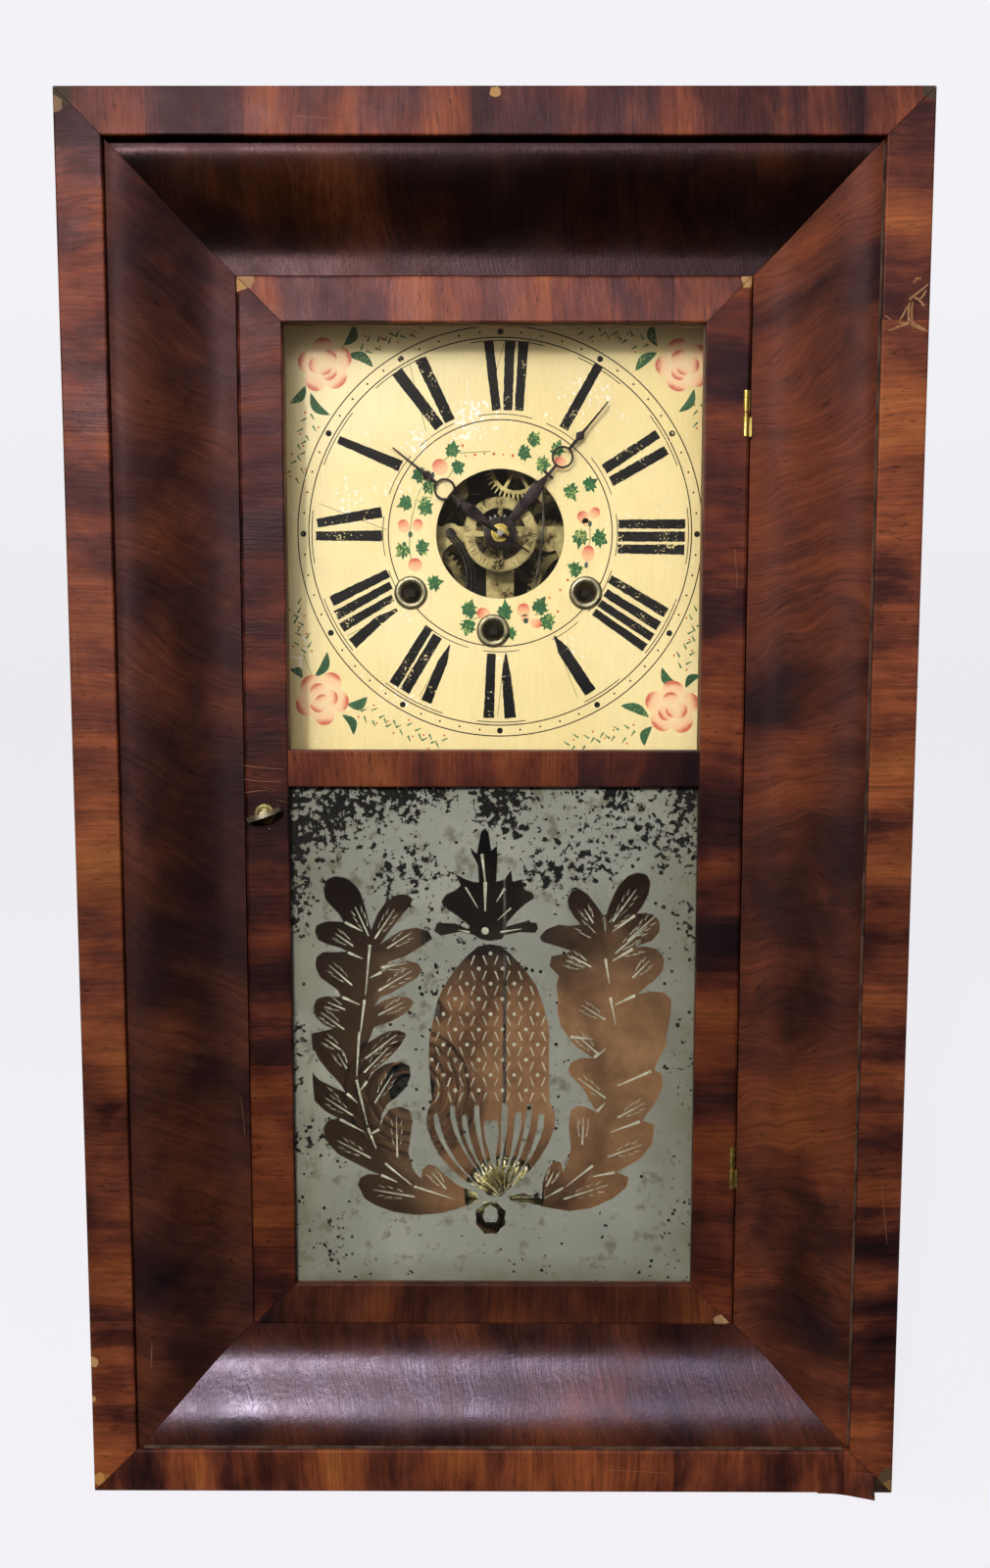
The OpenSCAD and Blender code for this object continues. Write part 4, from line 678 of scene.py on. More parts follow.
for k, (side, lean) in enumerate(LEAN.items()):
    piece = strip("band_" + side, BAND_SECTION, side, CASE, "case")
    wear(piece, veneer("band_veneer_" + side, lean, RED_TONES, 3 + k * 5.3, CORNER_WEAR[side], band=17,
                       along=60, gloss=0.44, shine=0.3, block=46))
    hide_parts("outer_band")

# the ogee, in mm behind the band's face: its crest, how far the crest's edge rolls away, and its foot
OGEE_STEP, OGEE_ROLL, OGEE_SINK = 2.4, 0.7, 22
# shares of its width: where the crest's edge ends, and where the long curve starts and ends
CREST_END, CURVE_START, CURVE_END = 0.12, 0.05, 0.88
OGEE_POINTS = 30
OGEE_FOOT = 12                      # where its back steps down to the band, in from the case's edge
FRAME_BACK = -19.7
JOINT = 0.2                         # between the ogee and the band
TOP_GAP = 2.2                       # the top moulding has shrunk away from its band
PINK_SHEEN, BLUE_SHEEN = "#ffccd4", "#e6d9f8"
# the ogees' tones differ by side as painted light and shade: the right lighter than the left, the top near
# black
# side: cut from its outer edge, seed, lean, figure, tones, gloss, shine and the tint of its sheen
OGEES = {
    "left": (0, 11, 62, 0.8, DARK_TONES, 0.52, 0.33, PINK_SHEEN),
    "right": (0, 23, 100, 1.5, LIT_RIGHT_TONES, 0.56, 0.33, PINK_SHEEN),
    "top": (TOP_GAP, 37, 4, 0.8, PAINTED_SHADE_TONES, 0.36, 0.33, PINK_SHEEN),
    "bottom": (0, 41, 12, 0.9, DARK_TONES, 0.3, 0.68, BLUE_SHEEN),
}


def ogee_depth(u):
    """How far behind the band's face the ogee lies at a share u of its width."""
    t = min(max((u - CURVE_START) / (CURVE_END - CURVE_START), 0), 1)
    edge = max(1 - u / CREST_END, 0)
    return OGEE_STEP + (OGEE_SINK - OGEE_STEP) * (1 - math.cos(math.pi * t)) / 2 + OGEE_ROLL * edge * edge


for side, (cut, seed, lean, figure, tones, gloss, shine, tint) in OGEES.items():
    outer, first = BAND_W + JOINT, cut / OGEE_W
    shares = [first + (1 - first) * k / OGEE_POINTS for k in range(OGEE_POINTS + 1)]
    face = [(outer + u * OGEE_W, FRONT + ogee_depth(u)) for u in shares]
    back = [(OGEE_IN, FRAME_BACK), (OGEE_FOOT, FRAME_BACK), (OGEE_FOOT, BAND_BACK), (outer + cut, BAND_BACK)]
    piece = strip("ogee_veneered_" + side, face + back, side, CASE, "case")
    wear(piece, veneer("ogee_veneer_" + side, lean, tones, seed, band=26, along=80, gloss=gloss, flame=figure,
                       mottle=0.5, shine=shine, tint=tint))
    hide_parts("ogee_" + side)

# dust that has gathered in the joint between the ogee and the outer band
DUST = mottled("grey_dust", 90.0, [(0.36, "#2c1f18"), (0.6, "#5e4b3e")], 0.95)
DUST_SECTION = [(BAND_W - 0.1, FRONT + 1.2), (BAND_W + 0.2, FRONT + 2.6), (BAND_W + 0.8, FRONT + 3.0),
                (BAND_W + 0.1, FRONT + 4.0)]
for side in ("bottom", "right"):
    piece = strip("dust_line_" + side, DUST_SECTION, side, CASE, "case", gap=2)
    wear(piece, DUST)


def scored(name, lines, y, wide, body, finish):
    """Thin scratches or cracks through pixels of the photograph, a hair before the surface at depth y."""
    strokes = []
    for line in lines:
        points = [from_photo(px, py, y) for px, py in line]
        points = [(p.x, p.z) for p in points]
        for k, (a, b) in enumerate(zip(points, points[1:])):
            strokes.append(stroke(a, b, wide * (0.5 if k == 0 else 1),
                                  wide * (0.4 if k == len(points) - 2 else 1)))
    # strokes that cross lie at depths of their own
    parts = [flat(name + "_part", [outline], y - 0.002 * (k % 5), 0, body)
             for k, outline in enumerate(strokes)]
    wear(joined(name, parts, body), finish)


# scratches and cracks in the veneer: each a line through pixels of the photograph
BAND_SCRATCHES = [[(940, 284), (935, 284), (932, 289)], [(947, 290), (936, 299), (929, 304), (927, 310)],
                  [(934, 303), (940, 308), (942, 313)], [(930, 302), (936, 305), (944, 312)],
                  [(928, 306), (927, 317), (926, 330)], [(931, 308), (930, 320), (931, 331)],
                  [(926, 312), (921, 322), (917, 328)], [(917, 329), (924, 330), (934, 329)],
                  [(914, 335), (920, 332), (927, 331)], [(906, 337), (912, 336), (916, 332)],
                  [(931, 330), (938, 333), (947, 338)], [(933, 333), (940, 336), (946, 337)],
                  [(903, 322), (910, 327)], [(927, 322), (929, 330), (933, 334)],
                  [(945, 296), (941, 303), (937, 306)]]
STILE_SCRATCHES = [[(249, 795), (263, 797), (289, 798)], [(281, 816), (294, 819)], [(246, 1120), (250, 1160)],
                   [(248, 781), (262, 783), (290, 785)], [(249, 809), (262, 807), (274, 806)],
                   [(270, 803), (282, 807)], [(286, 736), (292, 737)], [(262, 632), (276, 635)],
                   [(750, 560), (752, 600)]]
CASE_SCRATCHES = [[(75, 640), (77, 690)], [(914, 820), (927, 826)], [(899, 1205), (905, 1270)],
                  [(300, 118), (340, 121)], [(620, 1500), (680, 1503)], [(921, 690), (933, 688)]]
BAND_CRACKS = [[(98, 1446), (139, 1433)], [(82, 843), (119, 842)], [(900, 700), (938, 701)],
               [(880, 1240), (916, 1239)], [(885, 1504), (886, 1523)], [(612, 93), (613, 132)],
               [(884, 1503), (907, 1523)]]
STILE_CRACKS = [[(245, 683), (287, 682)], [(252, 1032), (295, 1033)], [(728, 596), (766, 597)],
                [(712, 1110), (749, 1109)], [(242, 283), (289, 330)], [(720, 327), (766, 280)],
                [(262, 1352), (303, 1313)], [(706, 1312), (745, 1350)], [(289, 766), (289, 803)],
                [(720, 764), (719, 801)]]
STILE_HAIR_CRACKS = [[(246, 569), (268, 571), (288, 573)], [(247, 628), (262, 627), (272, 625)],
                     [(247, 669), (288, 671)], [(248, 721), (266, 723), (289, 727)], [(249, 747), (290, 752)],
                     [(249, 760), (268, 762), (290, 766)], [(250, 778), (291, 783)], [(252, 896), (292, 893)],
                     [(715, 996), (752, 998)], [(713, 1195), (748, 1197)], [(711, 1262), (745, 1262)],
                     [(724, 420), (760, 423)], [(723, 512), (762, 510)], [(256, 1205), (297, 1207)]]
SCUFF = old_pine("scratched_bare_veneer", 0, "#b98b5c", "#93663c", 21, spacing=2.0)
CRACK = old_pine("dark_crack", 0, "#0d0705", "#070404", 22, spacing=2.0)
# name, lines, depth of the surface, width in mm, body and finish
for name, lines, y, wide, body, finish in (
        ("band_scratches", BAND_SCRATCHES, FRONT - 0.03, 1.0, "case", SCUFF),
        ("stile_scratches", STILE_SCRATCHES, DOOR_Y - 0.03, 0.2, "door", SCUFF),
        ("case_scratches", CASE_SCRATCHES, FRONT - 0.03, 0.28, "case", SCUFF),
        ("band_cracks", BAND_CRACKS, FRONT - 0.02, 0.42, "case", CRACK),
        ("stile_cracks", STILE_CRACKS, DOOR_Y - 0.02, 0.3, "door", CRACK),
        ("stile_hair_cracks", STILE_HAIR_CRACKS, DOOR_Y - 0.02, 0.26, "door", CRACK)):
    scored(name, lines, y, wide, body, finish)

# the veneer at the lower band's right end has let go and curls forward
CURL_X, CURL_STEP, CURL_STEPS = 160, 2.7, 10
CURL_LOW, CURL_HIGH, CURL_THICK = 0.3, 12, 0.55
CURL_FROM, CURL_REACH = 163, 24     # where it starts to bend, and over what length
CURL_OUT, CURL_DOWN = 5.0, 1.2      # how far its end has come forward and down
CURL_OUT_TOP, CURL_DOWN_TOP = 16, 14    # the heights where either would be nothing
lifted = FRONT - 0.05
curl = outline_ring("lifted_veneer", [(CURL_X, lifted, CURL_LOW), (CURL_X, lifted - CURL_THICK, CURL_LOW),
                                      (CURL_X, lifted - CURL_THICK, CURL_HIGH), (CURL_X, lifted, CURL_HIGH)])
bpy.ops.mesh.edge_face_add()
for _ in range(CURL_STEPS):
    bpy.ops.mesh.extrude_region_move(TRANSFORM_OT_translate={"value": (CURL_STEP * MM, 0, 0)})
for corner in bmesh.from_edit_mesh(curl.data).verts:
    bend = (max(0, corner.co.x / MM - CURL_FROM) / CURL_REACH) ** 2
    height = corner.co.z / MM
    corner.co.y -= CURL_OUT * bend * (1 - height / CURL_OUT_TOP) * MM
    corner.co.z -= CURL_DOWN * bend * (1 - height / CURL_DOWN_TOP) * MM
close_up(curl)
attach(curl, "case")
wear(curl, bpy.data.materials["band_veneer_bottom"])

# ---- the door ----
DOOR = (-DOOR_X, DOOR_X, DOOR_Z0, DOOR_Z1)
DOOR_WEAR = {
    "left": [(-118.5, 584, 4, PINE)],
    "right": [(117, 585.5, 4, PINE)],
    "top": [(-116, 585, 4.4, "#b08a62"), (118, 585.5, 3, PINE)],
    "bottom": [(116, 80, 3.4, "#b8946a"), (113, 79.5, 2.4, "#a58360"), (-114, 78, 3, "#120c0a")],
}
REBATE = 5
# painted light and shade: the top rail takes the lighter tones of the bands, the bottom rail the dark tones
# of the ogees
DOOR_TONES = {"left": STILE_TONES, "right": STILE_TONES, "top": RED_TONES, "bottom": DARK_TONES}
DOOR_SECTION = [(0, DOOR_BACK), (0, DOOR_Y + 1.6), (0.5, DOOR_Y + 0.6), (1.6, DOOR_Y),
                (STILE_W - 0.8, DOOR_Y), (STILE_W - 0.2, DOOR_Y + 0.2), (STILE_W, DOOR_Y + 0.8),
                (STILE_W, GLASS_BACK - 2), (STILE_W - REBATE, GLASS_BACK - 2), (STILE_W - REBATE, DOOR_BACK)]
for k, (side, lean) in enumerate(LEAN.items()):
    piece = strip("door_" + side, DOOR_SECTION, side, DOOR, "door")
    wear(piece, veneer("door_veneer_" + side, lean, DOOR_TONES[side], 61 + k * 4.1, DOOR_WEAR[side], band=17,
                       along=60, gloss=0.42, block=52, shine=0.45 if side == "top" else 0.26))
    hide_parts("door_stiles" if side in ("left", "right") else "door_end_rails")
SIGHT = DOOR_X - STILE_W
RAIL_H = RAIL_Z1 - RAIL_Z0
RAIL_SECTION = [(0, GLASS_BACK - 2), (0, DOOR_Y + 0.8), (0.2, DOOR_Y + 0.2), (0.8, DOOR_Y),
                (RAIL_H - 0.8, DOOR_Y), (RAIL_H - 0.2, DOOR_Y + 0.2), (RAIL_H, DOOR_Y + 0.8),
                (RAIL_H, GLASS_BACK - 2), (RAIL_H - REBATE, GLASS_BACK - 2), (RAIL_H - REBATE, DOOR_BACK),
                (REBATE, DOOR_BACK), (REBATE, GLASS_BACK - 2)]
rail = outline_ring("door_rail", [(-SIGHT, y, RAIL_Z0 + u) for u, y in RAIL_SECTION])
bpy.ops.mesh.edge_face_add()
bpy.ops.mesh.extrude_region_move(TRANSFORM_OT_translate={"value": (2 * SIGHT * MM, 0, 0)})
close_up(rail, angle=18)
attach(rail, "door")
wear(rail, veneer("door_veneer_rail", 0, STILE_TONES, 91, band=22, along=60, gloss=0.42, block=60,
                  shine=0.26))
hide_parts("door_middle_rail")

# ---- numbers, rings and dots on the dial: [right, up] from its centre, in mm ----
# each bar runs from its outer end to its inner end, with its two widths
NUMERAL_BARS = [((-5.7, 92.5), (-1.9, 59.6), 3.7, 3.6), ((4.7, 92.6), (3.6, 59.6), 4.0, 3.7),
                ((11.3, 92.4), (9.1, 59.4), 4.0, 3.5), ((48.0, 81.2), (31.0, 51.0), 3.6, 3.9),
                ((77.2, 48.4), (51.0, 31.4), 3.6, 4.1), ((81.4, 40.6), (54.4, 25.4), 3.8, 4.2),
                ((91.2, 4.9), (58.2, 4.9), 3.7, 3.6), ((91.2, -1.2), (58.2, -1.2), 4.0, 4.0),
                ((91.0, -7.6), (58.0, -7.2), 4.0, 3.6), ((82.4, -38.6), (54.3, -21.8), 4.2, 3.4),
                ((78.8, -45.1), (52.2, -28.6), 4.0, 3.4), ((75.6, -50.7), (49.4, -33.8), 3.4, 3.2),
                ((72.2, -55.8), (46.6, -38.0), 3.6, 3.0), ((45.2, -78.0), (31.6, -57.4), 5.0, 4.6),
                ((31.6, -57.4), (27.0, -50.0), 4.6, 0.6), ((-5.6, -90.8), (-4.3, -58.8), 4.2, 3.6),
                ((5.2, -90.8), (3.2, -70.0), 4.6, 3.8), ((3.2, -70.0), (2.9, -58.6), 3.8, 0.5),
                ((-53.0, -74.2), (-35.4, -46.0), 4.2, 3.6), ((-47.6, -77.6), (-31.0, -50.0), 4.2, 4.2),
                ((-36.9, -82.8), (-28.6, -63.0), 4.4, 3.9), ((-28.6, -63.0), (-25.0, -54.6), 3.9, 0.5),
                ((-83.6, -33.0), (-55.3, -19.2), 4.2, 3.4), ((-81.4, -40.0), (-54.0, -24.9), 3.8, 3.2),
                ((-78.8, -46.0), (-53.2, -31.2), 3.8, 3.0), ((-73.4, -54.0), (-60.4, -42.6), 4.6, 3.8),
                ((-60.4, -42.6), (-51.0, -37.0), 3.8, 1.2), ((-90.4, 5.2), (-58.3, 10.6), 3.4, 4.4),
                ((-91.0, -1.0), (-58.3, -0.9), 3.4, 4.4), ((-79.4, 45.6), (-48.8, 32.8), 3.0, 4.6),
                ((-50.6, 78.2), (-29.8, 51.6), 4.6, 4.4), ((-39.0, 84.2), (-24.6, 54.4), 4.6, 4.4)]
# thin hair strokes of the X and V
HAIR_LINES = [((-44.0, 81.0), (-36.4, 49.5)), ((-89.0, 14.6), (-56.0, 2.0)), ((38.6, -80.6), (29.6, -57.0)),
              ((-40.0, -80.0), (-28.0, -58.0)), ((-1.2, -90.0), (1.8, -62.0)), ((1.8, 92.0), (-4.2, 70.0)),
              ((-76.0, -50.0), (-56.0, -40.0))]
RING_OUT, RING_IN, RING_DIAL = 99.8, 94.4, 55.2
TRACK_HALF = 0.29                   # half the width of a ring's line
HOUR_DOT, MINUTE_DOT = (1.5, 14), (0.55, 7)     # radius in mm, and points
# serif arcs: hour angle clockwise from the top, then the reach to its left and right, in degrees
SERIFS = [(0, 9, 13), (30, 6, 9), (60, 8, 9), (90, 8, 9), (120, 10, 9), (150, 10, 3), (180, 8, 7),
          (210, 12, 8), (240, 8, 10), (270, 9, 7), (300, 9, 9), (330, 11, 6)]
random.seed(7)                      # for the unsteady edges of the brush strokes


def on_dial(p):
    """A place on the dial, given from its centre, in (x, z)."""
    return (DIAL.x + p[0], DIAL.z + p[1])


def ragged(outline, amount, step=1.3):
    """A painted outline with a slightly unsteady edge: points every few mm, each off by a little."""
    result = []
    for (ax, az), (bx, bz) in zip(outline, outline[1:] + outline[:1]):
        count = max(1, round(math.hypot(bx - ax, bz - az) / step))
        for k in range(count):
            t = k / count
            result.append((ax + (bx - ax) * t + random.uniform(-amount, amount),
                           az + (bz - az) * t + random.uniform(-amount, amount)))
    return result


def clock_point(r, a):
    """The point at a radius and at an angle clockwise from the top, in radians."""
    return on_dial((r * math.sin(a), r * math.cos(a)))


def arc_band(r, wide, start, end):
    """A thin painted arc about the dial's centre; angles clockwise from the top, in degrees."""
    count = max(3, round((end - start) / 3))
    angles = [math.radians(start + (end - start) * k / count) for k in range(count + 1)]
    outer = [clock_point(r + wide / 2, a) for a in angles]
    return outer + [clock_point(r - wide / 2, a) for a in angles[::-1]]


def painted(name, outlines, lift, finish):
    """Paint on the dial, its face this many mm before the plate's."""
    wear(flat(name, outlines, DIAL_Y - lift, 0, "case"), finish)


numeral_paint = brush_paint("black_numeral_paint", "#0d0c0f", "#d9c691", 0.08, gloss=0.6)
BAR_GROW_OUT, BAR_GROW_IN = 1.26, 1.22     # the brush spread a little past the widths above
bars = []
for outer, inner, wide_out, wide_in in NUMERAL_BARS:
    bar = stroke(outer, inner, wide_out * BAR_GROW_OUT, wide_in * BAR_GROW_IN)
    bars.append(ragged([on_dial(p) for p in bar], 0.15))
painted("dial_numerals", bars, 0.05, numeral_paint)

fine_lines = []
for r, wide, grow in ((92.9, 0.45, 1), (57.9, 0.42, 1.2)):
    fine_lines += [arc_band(r, wide, h - a * grow, h + b * grow) for h, a, b in SERIFS]
fine_lines += [[on_dial(p) for p in stroke(a, b, 0.22, 0.22)] for a, b in HAIR_LINES]
hair_paint = brush_paint("thin_black_line_paint", "#1c1610", "#d9c48c", 0.04)
painted("dial_hair_lines", fine_lines, 0.03, hair_paint)
centre_2d = (DIAL.x, DIAL.z)
tracks = [ring(centre_2d, r + half, 144) for r in (RING_OUT, RING_IN, RING_DIAL)
          for half in (TRACK_HALF, -TRACK_HALF)]
painted("dial_minute_track", tracks, 0.04, hair_paint)
dots = []
for minute in range(60):
    middle = clock_point((RING_OUT + RING_IN) / 2, math.radians(minute * 6))
    dots.append(ring(middle, *(MINUTE_DOT if minute % 5 else HOUR_DOT)))
painted("dial_minute_dots", dots, 0.05, numeral_paint)

# ---- flowers and leaves painted on the dial, at their pixels in the photograph ----
ORNAMENT_LIFT = 0.06
PX_PER_MM = 2.06


def dial_px(px, py):
    """The place on the dial under a pixel of the photograph, in (x, z)."""
    point = from_photo(px, py, DIAL_Y)
    return (point.x, point.z)


IVY = [(0.0, -0.56), (0.07, -0.4), (0.26, -0.46), (0.43, -0.3), (0.34, -0.14), (0.58, 0.0), (0.37, 0.12),
       (0.43, 0.34), (0.22, 0.3), (0.1, 0.48), (0.0, 0.7), (-0.11, 0.46), (-0.22, 0.28), (-0.44, 0.32),
       (-0.36, 0.1), (-0.55, -0.02), (-0.34, -0.14), (-0.42, -0.32), (-0.24, -0.46), (-0.07, -0.4)]
# pixel, size in mm, turn in degrees clockwise
IVY_LEAVES = [(461.7, 459, 7, 10), (467.5, 476.7, 6.5, 70), (545, 448.5, 7, 40), (535, 462.5, 7, 120),
              (568.5, 458.5, 7, 20), (554, 474, 7, 100), (582.5, 501.7, 7.5, 150), (601.7, 494, 7, 60),
              (414, 513.5, 7, 250), (434, 517.5, 8, 130), (411, 562, 7.5, 235), (431, 558.5, 7, 60),
              (591.5, 549, 8, 190), (611.5, 549, 8, 120), (586.5, 581, 7, 300), (443.5, 595, 7.5, 80),
              (478.5, 622, 8, 20), (477.5, 640, 7.5, 200), (515, 624, 8, 0), (551, 618.5, 8, 30),
              (558.5, 634.5, 8, 150), (427.5, 485, 7.5, 250), (438, 497, 7, 160), (521.5, 646.5, 6, 160)]
leaves = []
for px, py, size, turn in IVY_LEAVES:
    cx, cz = dial_px(px, py)
    c, s = math.cos(math.radians(turn)), math.sin(math.radians(turn))
    uneven = [(x * random.uniform(0.95, 1.3), z * random.uniform(0.9, 1.2)) for x, z in IVY]
    leaves.append([(cx + size * (x * c + z * s) * 0.88, cz + size * (-x * s + z * c)) for x, z in uneven])
painted("dial_ivy_leaves", leaves, ORNAMENT_LIFT,
        brush_paint("dark_green_leaf_paint", "#265431", "#8f9a58", 0.2))


def crescent(a, b, bulge, wide):
    """A curved leaf between two pixels, bulging to one side, as an outline in mm."""
    ax, az = dial_px(*a)
    bx, bz = dial_px(*b)
    run = Vector((bx - ax, bz - az))
    side = Vector((-run[1], run[0])).normalized()
    outer, inner = [], []
    for k in range(9):
        t = k / 8
        swell = math.sin(math.pi * t) ** 0.8
        middle = Vector((ax, az)) + run * t + side * bulge * math.sin(math.pi * t)
        outer.append(tuple(middle + side * wide / 2 * swell))
        inner.append(tuple(middle - side * wide / 2 * swell))
    return outer + inner[-2:0:-1]


# from pixel to pixel, bulge and width in mm
CRESCENTS = [((351, 353), (361, 331), -2.2, 4.6), ((353, 363), (381, 375), 2.4, 4.6),
             ((312, 394), (296, 412), 1.6, 4.2), ((317, 401), (337, 424), -2.6, 4.4),
             ((670.5, 354), (667, 329), 2.2, 4.4), ((670, 360), (648, 379), -1.4, 4.8),
             ((708, 397), (692, 421), 2.2, 4.0), ((309, 692), (296, 683), -1.6, 4.0),
             ((321, 691), (334, 665), -2.2, 4.4), ((354, 719), (375, 711), -2.4, 5.2),
             ((349, 729), (361, 750), 2.6, 4.4), ((692, 700), (675, 681), 2.4, 4.6),
             ((699, 702), (715, 689), 2.0, 4.0), ((662, 732), (633, 720), -1.8, 4.8),
             ((665, 741), (657, 761), -2.0, 4.4)]
painted("dial_rose_leaves", [crescent(*c) for c in CRESCENTS], ORNAMENT_LIFT,
        brush_paint("blue_green_leaf_paint", "#2f5136", "#7f8f5a", 0.16))

DAB_SIDES = 20


def dab(px, py, long, wide, turn, lift):
    """One dab of a loaded brush as a small disc at a pixel: its UV runs from its heel (0) to its rim (1)."""
    clear_selection()
    bpy.ops.mesh.primitive_circle_add(vertices=DAB_SIDES, radius=1, fill_type="TRIFAN")
    piece = bpy.context.active_object
    own = piece.data.uv_layers.new(name="stroke")
    for loop in piece.data.loops:
        co = piece.data.vertices[loop.vertex_index].co
        own.data[loop.index].uv = (co.x * 0.5 + 0.5, co.y * 0.5 + 0.5)
    cx, cz = dial_px(px, py)
    c, s = math.cos(math.radians(turn)), math.sin(math.radians(turn))
    for corner in piece.data.vertices:
        x, z = corner.co.x * wide / 2, corner.co.y * long / 2
        corner.co = Vector((cx + x * c + z * s, DIAL_Y - ORNAMENT_LIFT - lift, cz - x * s + z * c)) * MM
    return piece


# pixel, turn in degrees
ROSES = [(331.5, 373, -20), (697, 373, 40), (329, 712, 160), (685.5, 722, 60)]
# an outer petal: how far from the heart, its length and its width, in mm
OUTER_PETALS = [(8.2, 11, 10.5), (8.4, 11, 11.55), (8.2, 10, 11.55), (8.4, 11, 10.5), (8.2, 10.5, 11.025)]
INNER_PETAL = (3.6, 8.5, 8.5)
HEART_DOWN, HEART_LONG, HEART_WIDE = 3, 6.5, 7      # the first in pixels
rose_petals = []
for px, py, turn in ROSES:
    petals = [(*petal, turn + k * 72 + 14, 0.01 + 0.01 * k) for k, petal in enumerate(OUTER_PETALS)]
    petals += [(*INNER_PETAL, turn + k * 120 + 50, 0.07 + 0.01 * k) for k in range(3)]
    for away, long, wide, around, lift in petals:
        a = math.radians(around)
        x, y = px + away * PX_PER_MM * math.sin(a), py - away * PX_PER_MM * math.cos(a)
        rose_petals.append(dab(x, y, long, wide, around, lift))
    rose_petals.append(dab(px, py + HEART_DOWN, HEART_LONG, HEART_WIDE, turn + 170, 0.11))
wear(joined("dial_roses", rose_petals, "case"),
     petal_paint("peach_rose_paint", "#dfc499", "#dfb088", "#bf5a40"))
# pixel, length, width and turn
BERRIES = [(449, 476.7, 8.0, 7.6, -30), (571.7, 473, 6.6, 6.0, -50), (595, 528, 6.4, 5.6, -40),
           (606.7, 523.5, 5.6, 5.0, 30), (600, 565, 8.0, 6.2, 5), (412, 537, 6.6, 5.6, -20),
           (426, 536, 6.0, 5.2, 20), (423.5, 576.5, 6.6, 7.0, 0), (493.3, 626.5, 7.0, 6.0, -60),
           (534, 622.5, 6.6, 6.2, 0), (546.7, 636, 5.6, 4.6, 110), (597, 533, 4.0, 3.4, 0),
           (536, 631, 4.2, 3.6, 180)]
berry_petals = [dab(*berry, 0.02 + 0.005 * (k % 3)) for k, berry in enumerate(BERRIES)]
wear(joined("dial_berries", berry_petals, "case"),
     petal_paint("coral_berry_paint", "#d8a679", "#cf7f58", "#b8452e"))
# pixel, width and height
BUDS = [(418.7, 545.5, 2.2, 3.0), (601.7, 534.5, 2.0, 3.0), (598, 576.7, 1.9, 3.2), (536.5, 633.5, 2.4, 2.8),
        (441.5, 485, 2.0, 3.2)]
painted("dial_buds", [ring(dial_px(px, py), wide / 2, 12, high / 2) for px, py, wide, high in BUDS], 0.15,
        brush_paint("grey_green_bud_paint", "#3d4d44", "#b9b48a", 0.03))

# stems: thin olive lines through pixels
STEMS = [[(453, 470), (462, 463), (478, 462), (500, 461)], [(456, 489), (462, 481), (467, 478)],
         [(430, 497), (425, 510), (420, 530), (418, 545), (418, 560), (420, 575)], [(430, 507), (441, 508)],
         [(601.5, 537), (602, 550), (600, 560)], [(592, 531), (600, 534)],
         [(598, 577), (590, 583), (585, 588)], [(470, 634), (480, 632), (490, 630)],
         [(545, 628), (553, 626), (560, 622)], [(430, 490), (436, 488), (441, 486)], [(352, 352), (340, 360)],
         [(310, 668), (318, 690)]]
stem_outlines = []
for line in STEMS:
    points = [dial_px(*p) for p in line]
    stem_outlines += [stroke(a, b, 0.5, 0.45) for a, b in zip(points, points[1:])]
painted("dial_stems", stem_outlines, 0.045, brush_paint("olive_stem_paint", "#7d8350", "#d9c98c", 0.09))

# sprays of small dashes with dots: from pixel to pixel, and how many dashes
SPRAYS = [((366, 358), (432, 331), 15), ((318, 420), (299, 490), 13), ((664, 352), (582, 333), 15),
          ((714, 410), (716, 440), 5), ((313, 668), (299, 615), 12), ((366, 725), (452, 760), 19),
          ((650, 745), (578, 760), 14), ((694, 684), (714, 622), 13)]
# in pixels: how far the row sways, how far a dash runs along and across it, and how far a dot stands off
SPRAY_SWAY, DASH_ALONG, DASH_ACROSS, DOT_OFF = 5, 4.6, 4.8, 6
dashes, spray_dots = [], []
for (ax, ay), (bx, by), count in SPRAYS:
    run = Vector((bx - ax, by - ay)).normalized()
    side = Vector((-run.y, run.x))
    for k in range(count):
        t = (k + 0.5) / count
        base = Vector((ax + (bx - ax) * t, ay + (by - ay) * t)) + side * SPRAY_SWAY * math.sin(k * 2.4)
        lean = run * DASH_ALONG + side * (DASH_ACROSS if k % 2 else -DASH_ACROSS)
        a, b = dial_px(*base), dial_px(*(base + lean))
        dashes.append(stroke(a, b, 1.1, 0.4))
        if k % 2 == 0:
            spray_dots.append(ring(dial_px(*(base + side * (-DOT_OFF if k % 4 else DOT_OFF))), 0.55, 7))
# the row of dots under the top of the ring, in pixels
DOT_ROW_X, DOT_ROW_Y, DOT_ROW_STEP = 475, 465.5, 9.6
for k in range(6):
    spray_dots.append(ring(dial_px(DOT_ROW_X + k * DOT_ROW_STEP, DOT_ROW_Y - 2.2 * math.sin(k * 0.6)),
                           0.75 if k % 2 else 0.5, 8))
LOOSE_DOTS = [(579, 592), (571.5, 602), (560.7, 610), (569, 624), (472, 455), (390, 346)]
spray_dots += [ring(dial_px(*p), 0.7, 8) for p in LOOSE_DOTS]
painted("dial_sprays", dashes, 0.04, brush_paint("sage_dash_paint", "#4c6a48", "#c9bd7c", 0.12))
painted("dial_spray_dots", spray_dots, 0.055, brush_paint("orange_dot_paint", "#b8562c", "#e6c07a", 0.06))

